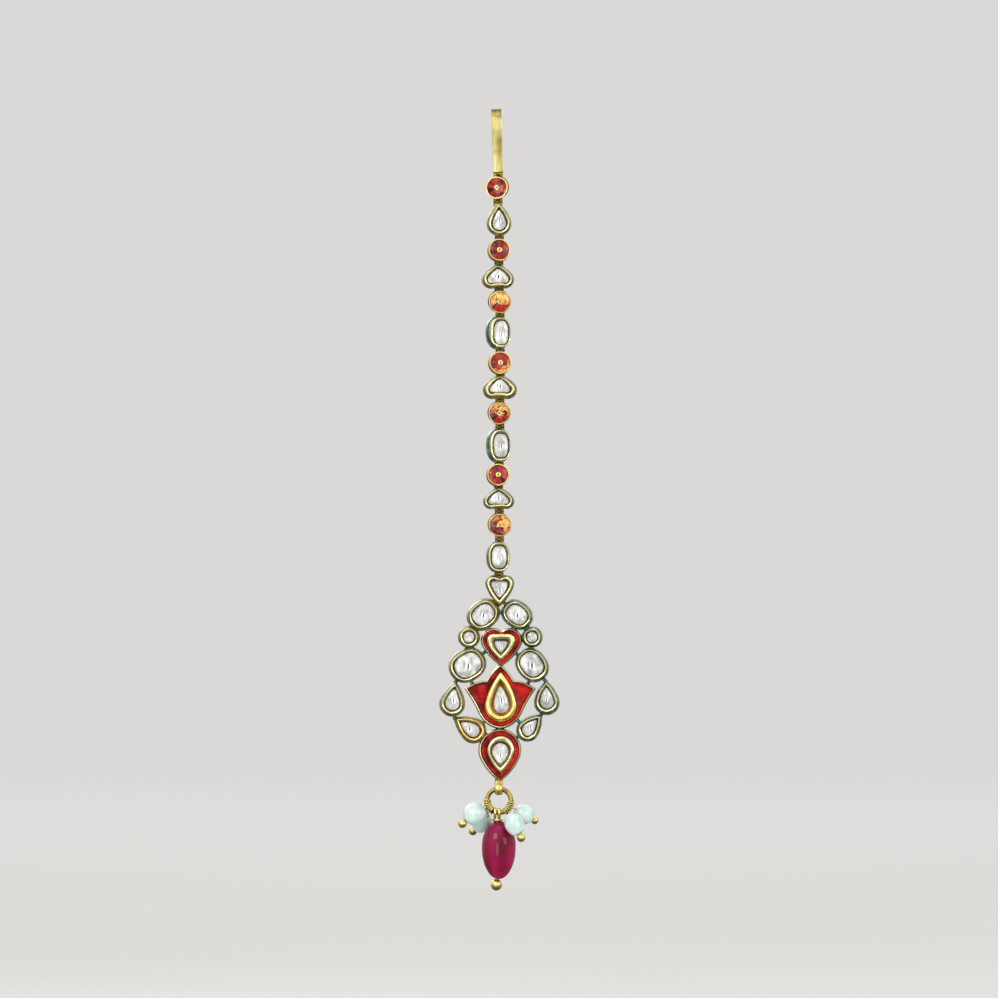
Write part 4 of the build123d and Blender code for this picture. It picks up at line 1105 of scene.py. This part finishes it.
def makeRing():
    # worn unevenly, and black with painted shade between the wraps
    bm = startPiece()
    across = Matrix.Translation((drop["ringRadius"], 0, 0))
    bmesh.ops.create_circle(bm, segments=24, radius=drop["ringWire"], matrix=across)
    turnedRound(bm, (0, 1, 0), 96)
    shadeAndWearLayer = bm.verts.layers.float["shadeAndWear"]
    for vert in bm.verts:
        angle = math.degrees(math.atan2(abs(vert.co.x), -vert.co.z))
        shadedByWraps = ringShadeAndWear["from"] < angle < ringShadeAndWear["to"]
        worn = ringShadeAndWear["worn"] + ringShadeAndWear["uneven"] * noise.noise(vert.co * ringShadeAndWear["waves"])
        vert[shadeAndWearLayer] = ringShadeAndWear["shadeAndGrime"] if shadedByWraps else worn
    bmesh.ops.translate(bm, vec=(0, drop["y"], drop["ringZ"]), verts=bm.verts)
    finishPiece(bm, "dropRing", "bead_drop", ["drop_ring"], ["ringGold"], smooth=60)


def makeRuby():
    # a smooth curve through the outline's points, turned round; a straight edge at each end closes it
    curve = bpy.data.curves.new("rubyLine", "CURVE")
    curve.dimensions = "3D"
    spline = curve.splines.new("BEZIER")
    spline.bezier_points.add(len(ruby["outline"]) - 1)
    for point, (r, low) in zip(spline.bezier_points, ruby["outline"]):
        point.co = (r, 0, -low)
        point.handle_left_type = point.handle_right_type = "AUTO"
    spline.resolution_u = 8
    line = bpy.data.objects.new("rubyLine", curve)
    bm = startPiece()
    bm.from_mesh(bpy.data.meshes.new_from_object(line))
    bpy.data.objects.remove(line)
    ends = sorted(bm.verts, key=lambda vert: vert.co.z)
    for end in (ends[0], ends[-1]):
        bm.edges.new((end, bm.verts.new((0, 0, end.co.z))))
    turnedRound(bm, (0, 0, 1), 64)
    for vert in bm.verts:
        lump = ruby["uneven"] * chance(vert.co.x * 0.3, vert.co.y * 0.3, vert.co.z * 0.16)
        vert.co.x *= 1 + lump
        vert.co.y *= 1 + lump
    bmesh.ops.translate(bm, vec=(ruby["x"], drop["y"], ruby["top"]), verts=bm.verts)
    finishPiece(bm, "rubyBead", "bead_drop", ["ruby_bead"], ["tumbledRuby"], smooth=60)


def makeRubyPin():
    bm = startPiece()
    y, wire = drop["y"], rubyPin["wire"]
    loop = drop["ringWire"] + rubyPin["slack"] + wire
    foot = drop["ringZ"] - drop["ringRadius"]
    collar = ruby["top"] + wire + rubyPin["clear"]
    belly, shoulder = loop * rubyPin["belly"], collar + rubyPin["shoulder"]
    for x in rubyPin["loops"]:
        over = [(x, y + loop * math.cos(math.radians(a)), foot + loop * math.sin(math.radians(a)))
                for a in range(-20, 201, 10)]
        heel = (x * rubyPin["pinch"], y, collar)
        addWire(bm, [heel, (x, y + belly, shoulder), *over, (x, y - belly, shoulder), heel], wire, 0.05)
    coil = []
    for turned in range(0, rubyPin["coilTurn"], 15):
        angle = math.radians(turned)
        coil.append((rubyPin["top"] + rubyPin["coil"] * math.cos(angle),
                     y + rubyPin["coil"] * math.sin(angle),
                     collar + rubyPin["coilRise"] * turned / 360 - rubyPin["coilLow"]))
    addWire(bm, coil, wire * rubyPin["coilWire"])
    ballZ = ruby["top"] - ruby["height"] - rubyPin["ball"] - rubyPin["clear"]
    addWire(bm, [(rubyPin["top"], y, collar), (rubyPin["foot"], y, ballZ)], wire)
    addBall(bm, (rubyPin["foot"], y, ballZ), rubyPin["ball"], (0, 0, -1))
    finishPiece(bm, "rubyPin", "bead_drop", ["ruby_pin"], ["wireGold"], smooth=50)


for number, values in enumerate(pearls, 1):
    makePearl(number, *values)
makeRuby()
makeRubyPin()
makeRing()
print("bead drop made")

# studio: pale floor, soft boxes and a long lens square on the jewel
studio = {
    "floor": -0.26, "floorRadius": 5.0, "fadeFrom": 1.2, "fadeTo": 3.6, "floorShade": "#F6F5F3",
    "room": "#DAD9D7",
    "middle": -0.07365, "far": 1.3, "lens": 246.8,
    "lights": (
        # place, size, watts
        ((-0.55, -0.95, 0.55), 0.55, 6.5),
        ((0.8, -0.8, 0.15), 0.5, 3.0),
        ((0.0, 0.1, 0.95), 0.6, 2.5),
        ((-0.2, -0.9, -0.22), 0.3, 1.0),
        ((-0.5, 0.95, 0.4), 0.5, 2.0),
    ),
}


def makeFloorPaper():
    # seamless studio paper, thinned out with distance so that it has no edge
    material, tree, place = newMaterial("palePaper")
    tone = ramp(tree, cloudy(tree, place, 400.0), (0.3, studio["floorShade"]), (0.7, "#F2F1EF"))
    away = compute(tree, "LENGTH", place, kind="VectorMath", output="Value")
    left = ranged(tree, away, 1.0, 0.0, studio["fadeFrom"], studio["fadeTo"], "SMOOTHSTEP")
    surface(tree, {"Base Color": tone, "Roughness": 0.9, "Alpha": left})
    return material


def makeStudio():
    scene = bpy.context.scene
    bm = bmesh.new()
    bmesh.ops.create_circle(bm, cap_ends=True, segments=64, radius=studio["floorRadius"])
    bmesh.ops.translate(bm, vec=(0, 0, studio["floor"]), verts=bm.verts)
    mesh = bpy.data.meshes.new("floor")
    bm.to_mesh(mesh)
    bm.free()
    mesh.materials.append(makeFloorPaper())
    floor = bpy.data.objects.new("floor", mesh)
    scene.collection.objects.link(floor)
    floor.visible_glossy = False
    middle = Vector((0, 0, studio["middle"]))
    for i, (place, size, watts) in enumerate(studio["lights"]):
        lamp = bpy.data.lights.new(f"softBox{i}", "AREA")
        lamp.size, lamp.energy = size, watts
        holder = bpy.data.objects.new(f"softBox{i}", lamp)
        holder.location = place
        holder.rotation_euler = (middle - Vector(place)).to_track_quat("-Z", "Y").to_euler()
        scene.collection.objects.link(holder)
    world = bpy.data.worlds.new("paleRoom")
    scene.world = world
    world.use_nodes = True
    world.node_tree.nodes.clear()
    tree = world.node_tree
    up = addNode(tree, "SeparateXYZ", "Z", {0: addNode(tree, "TexCoord", "Generated", {})})
    sky = ramp(tree, ranged(tree, up, 0.0, 1.0, -1.0, 1.0), (0.0, "#4C4A44"), (0.42, "#A6A49E"),
               (0.54, "#DEDCD8"), (0.85, "#FFFFFF"))
    seen = addNode(tree, "LightPath", "Is Camera Ray", {})
    plain = compute(tree, "MAXIMUM", seen, seen.node.outputs["Is Diffuse Ray"])
    mixed = blend(tree, plain, sky, colour(studio["room"]))
    back = addNode(tree, "Background", "Background", {"Color": mixed, "Strength": 1.0})
    addNode(tree, "OutputWorld", None, {"Surface": back})
    lens = bpy.data.cameras.new("camera")
    lens.lens, lens.sensor_width = studio["lens"], 36
    lens.clip_start, lens.clip_end = 0.05, 20
    camera = bpy.data.objects.new("camera", lens)
    camera.location = (0, -studio["far"], studio["middle"])
    camera.rotation_euler = (math.radians(90), 0, 0)
    scene.collection.objects.link(camera)
    scene.camera = camera
    scene.view_settings.view_transform = "Standard"


makeStudio()
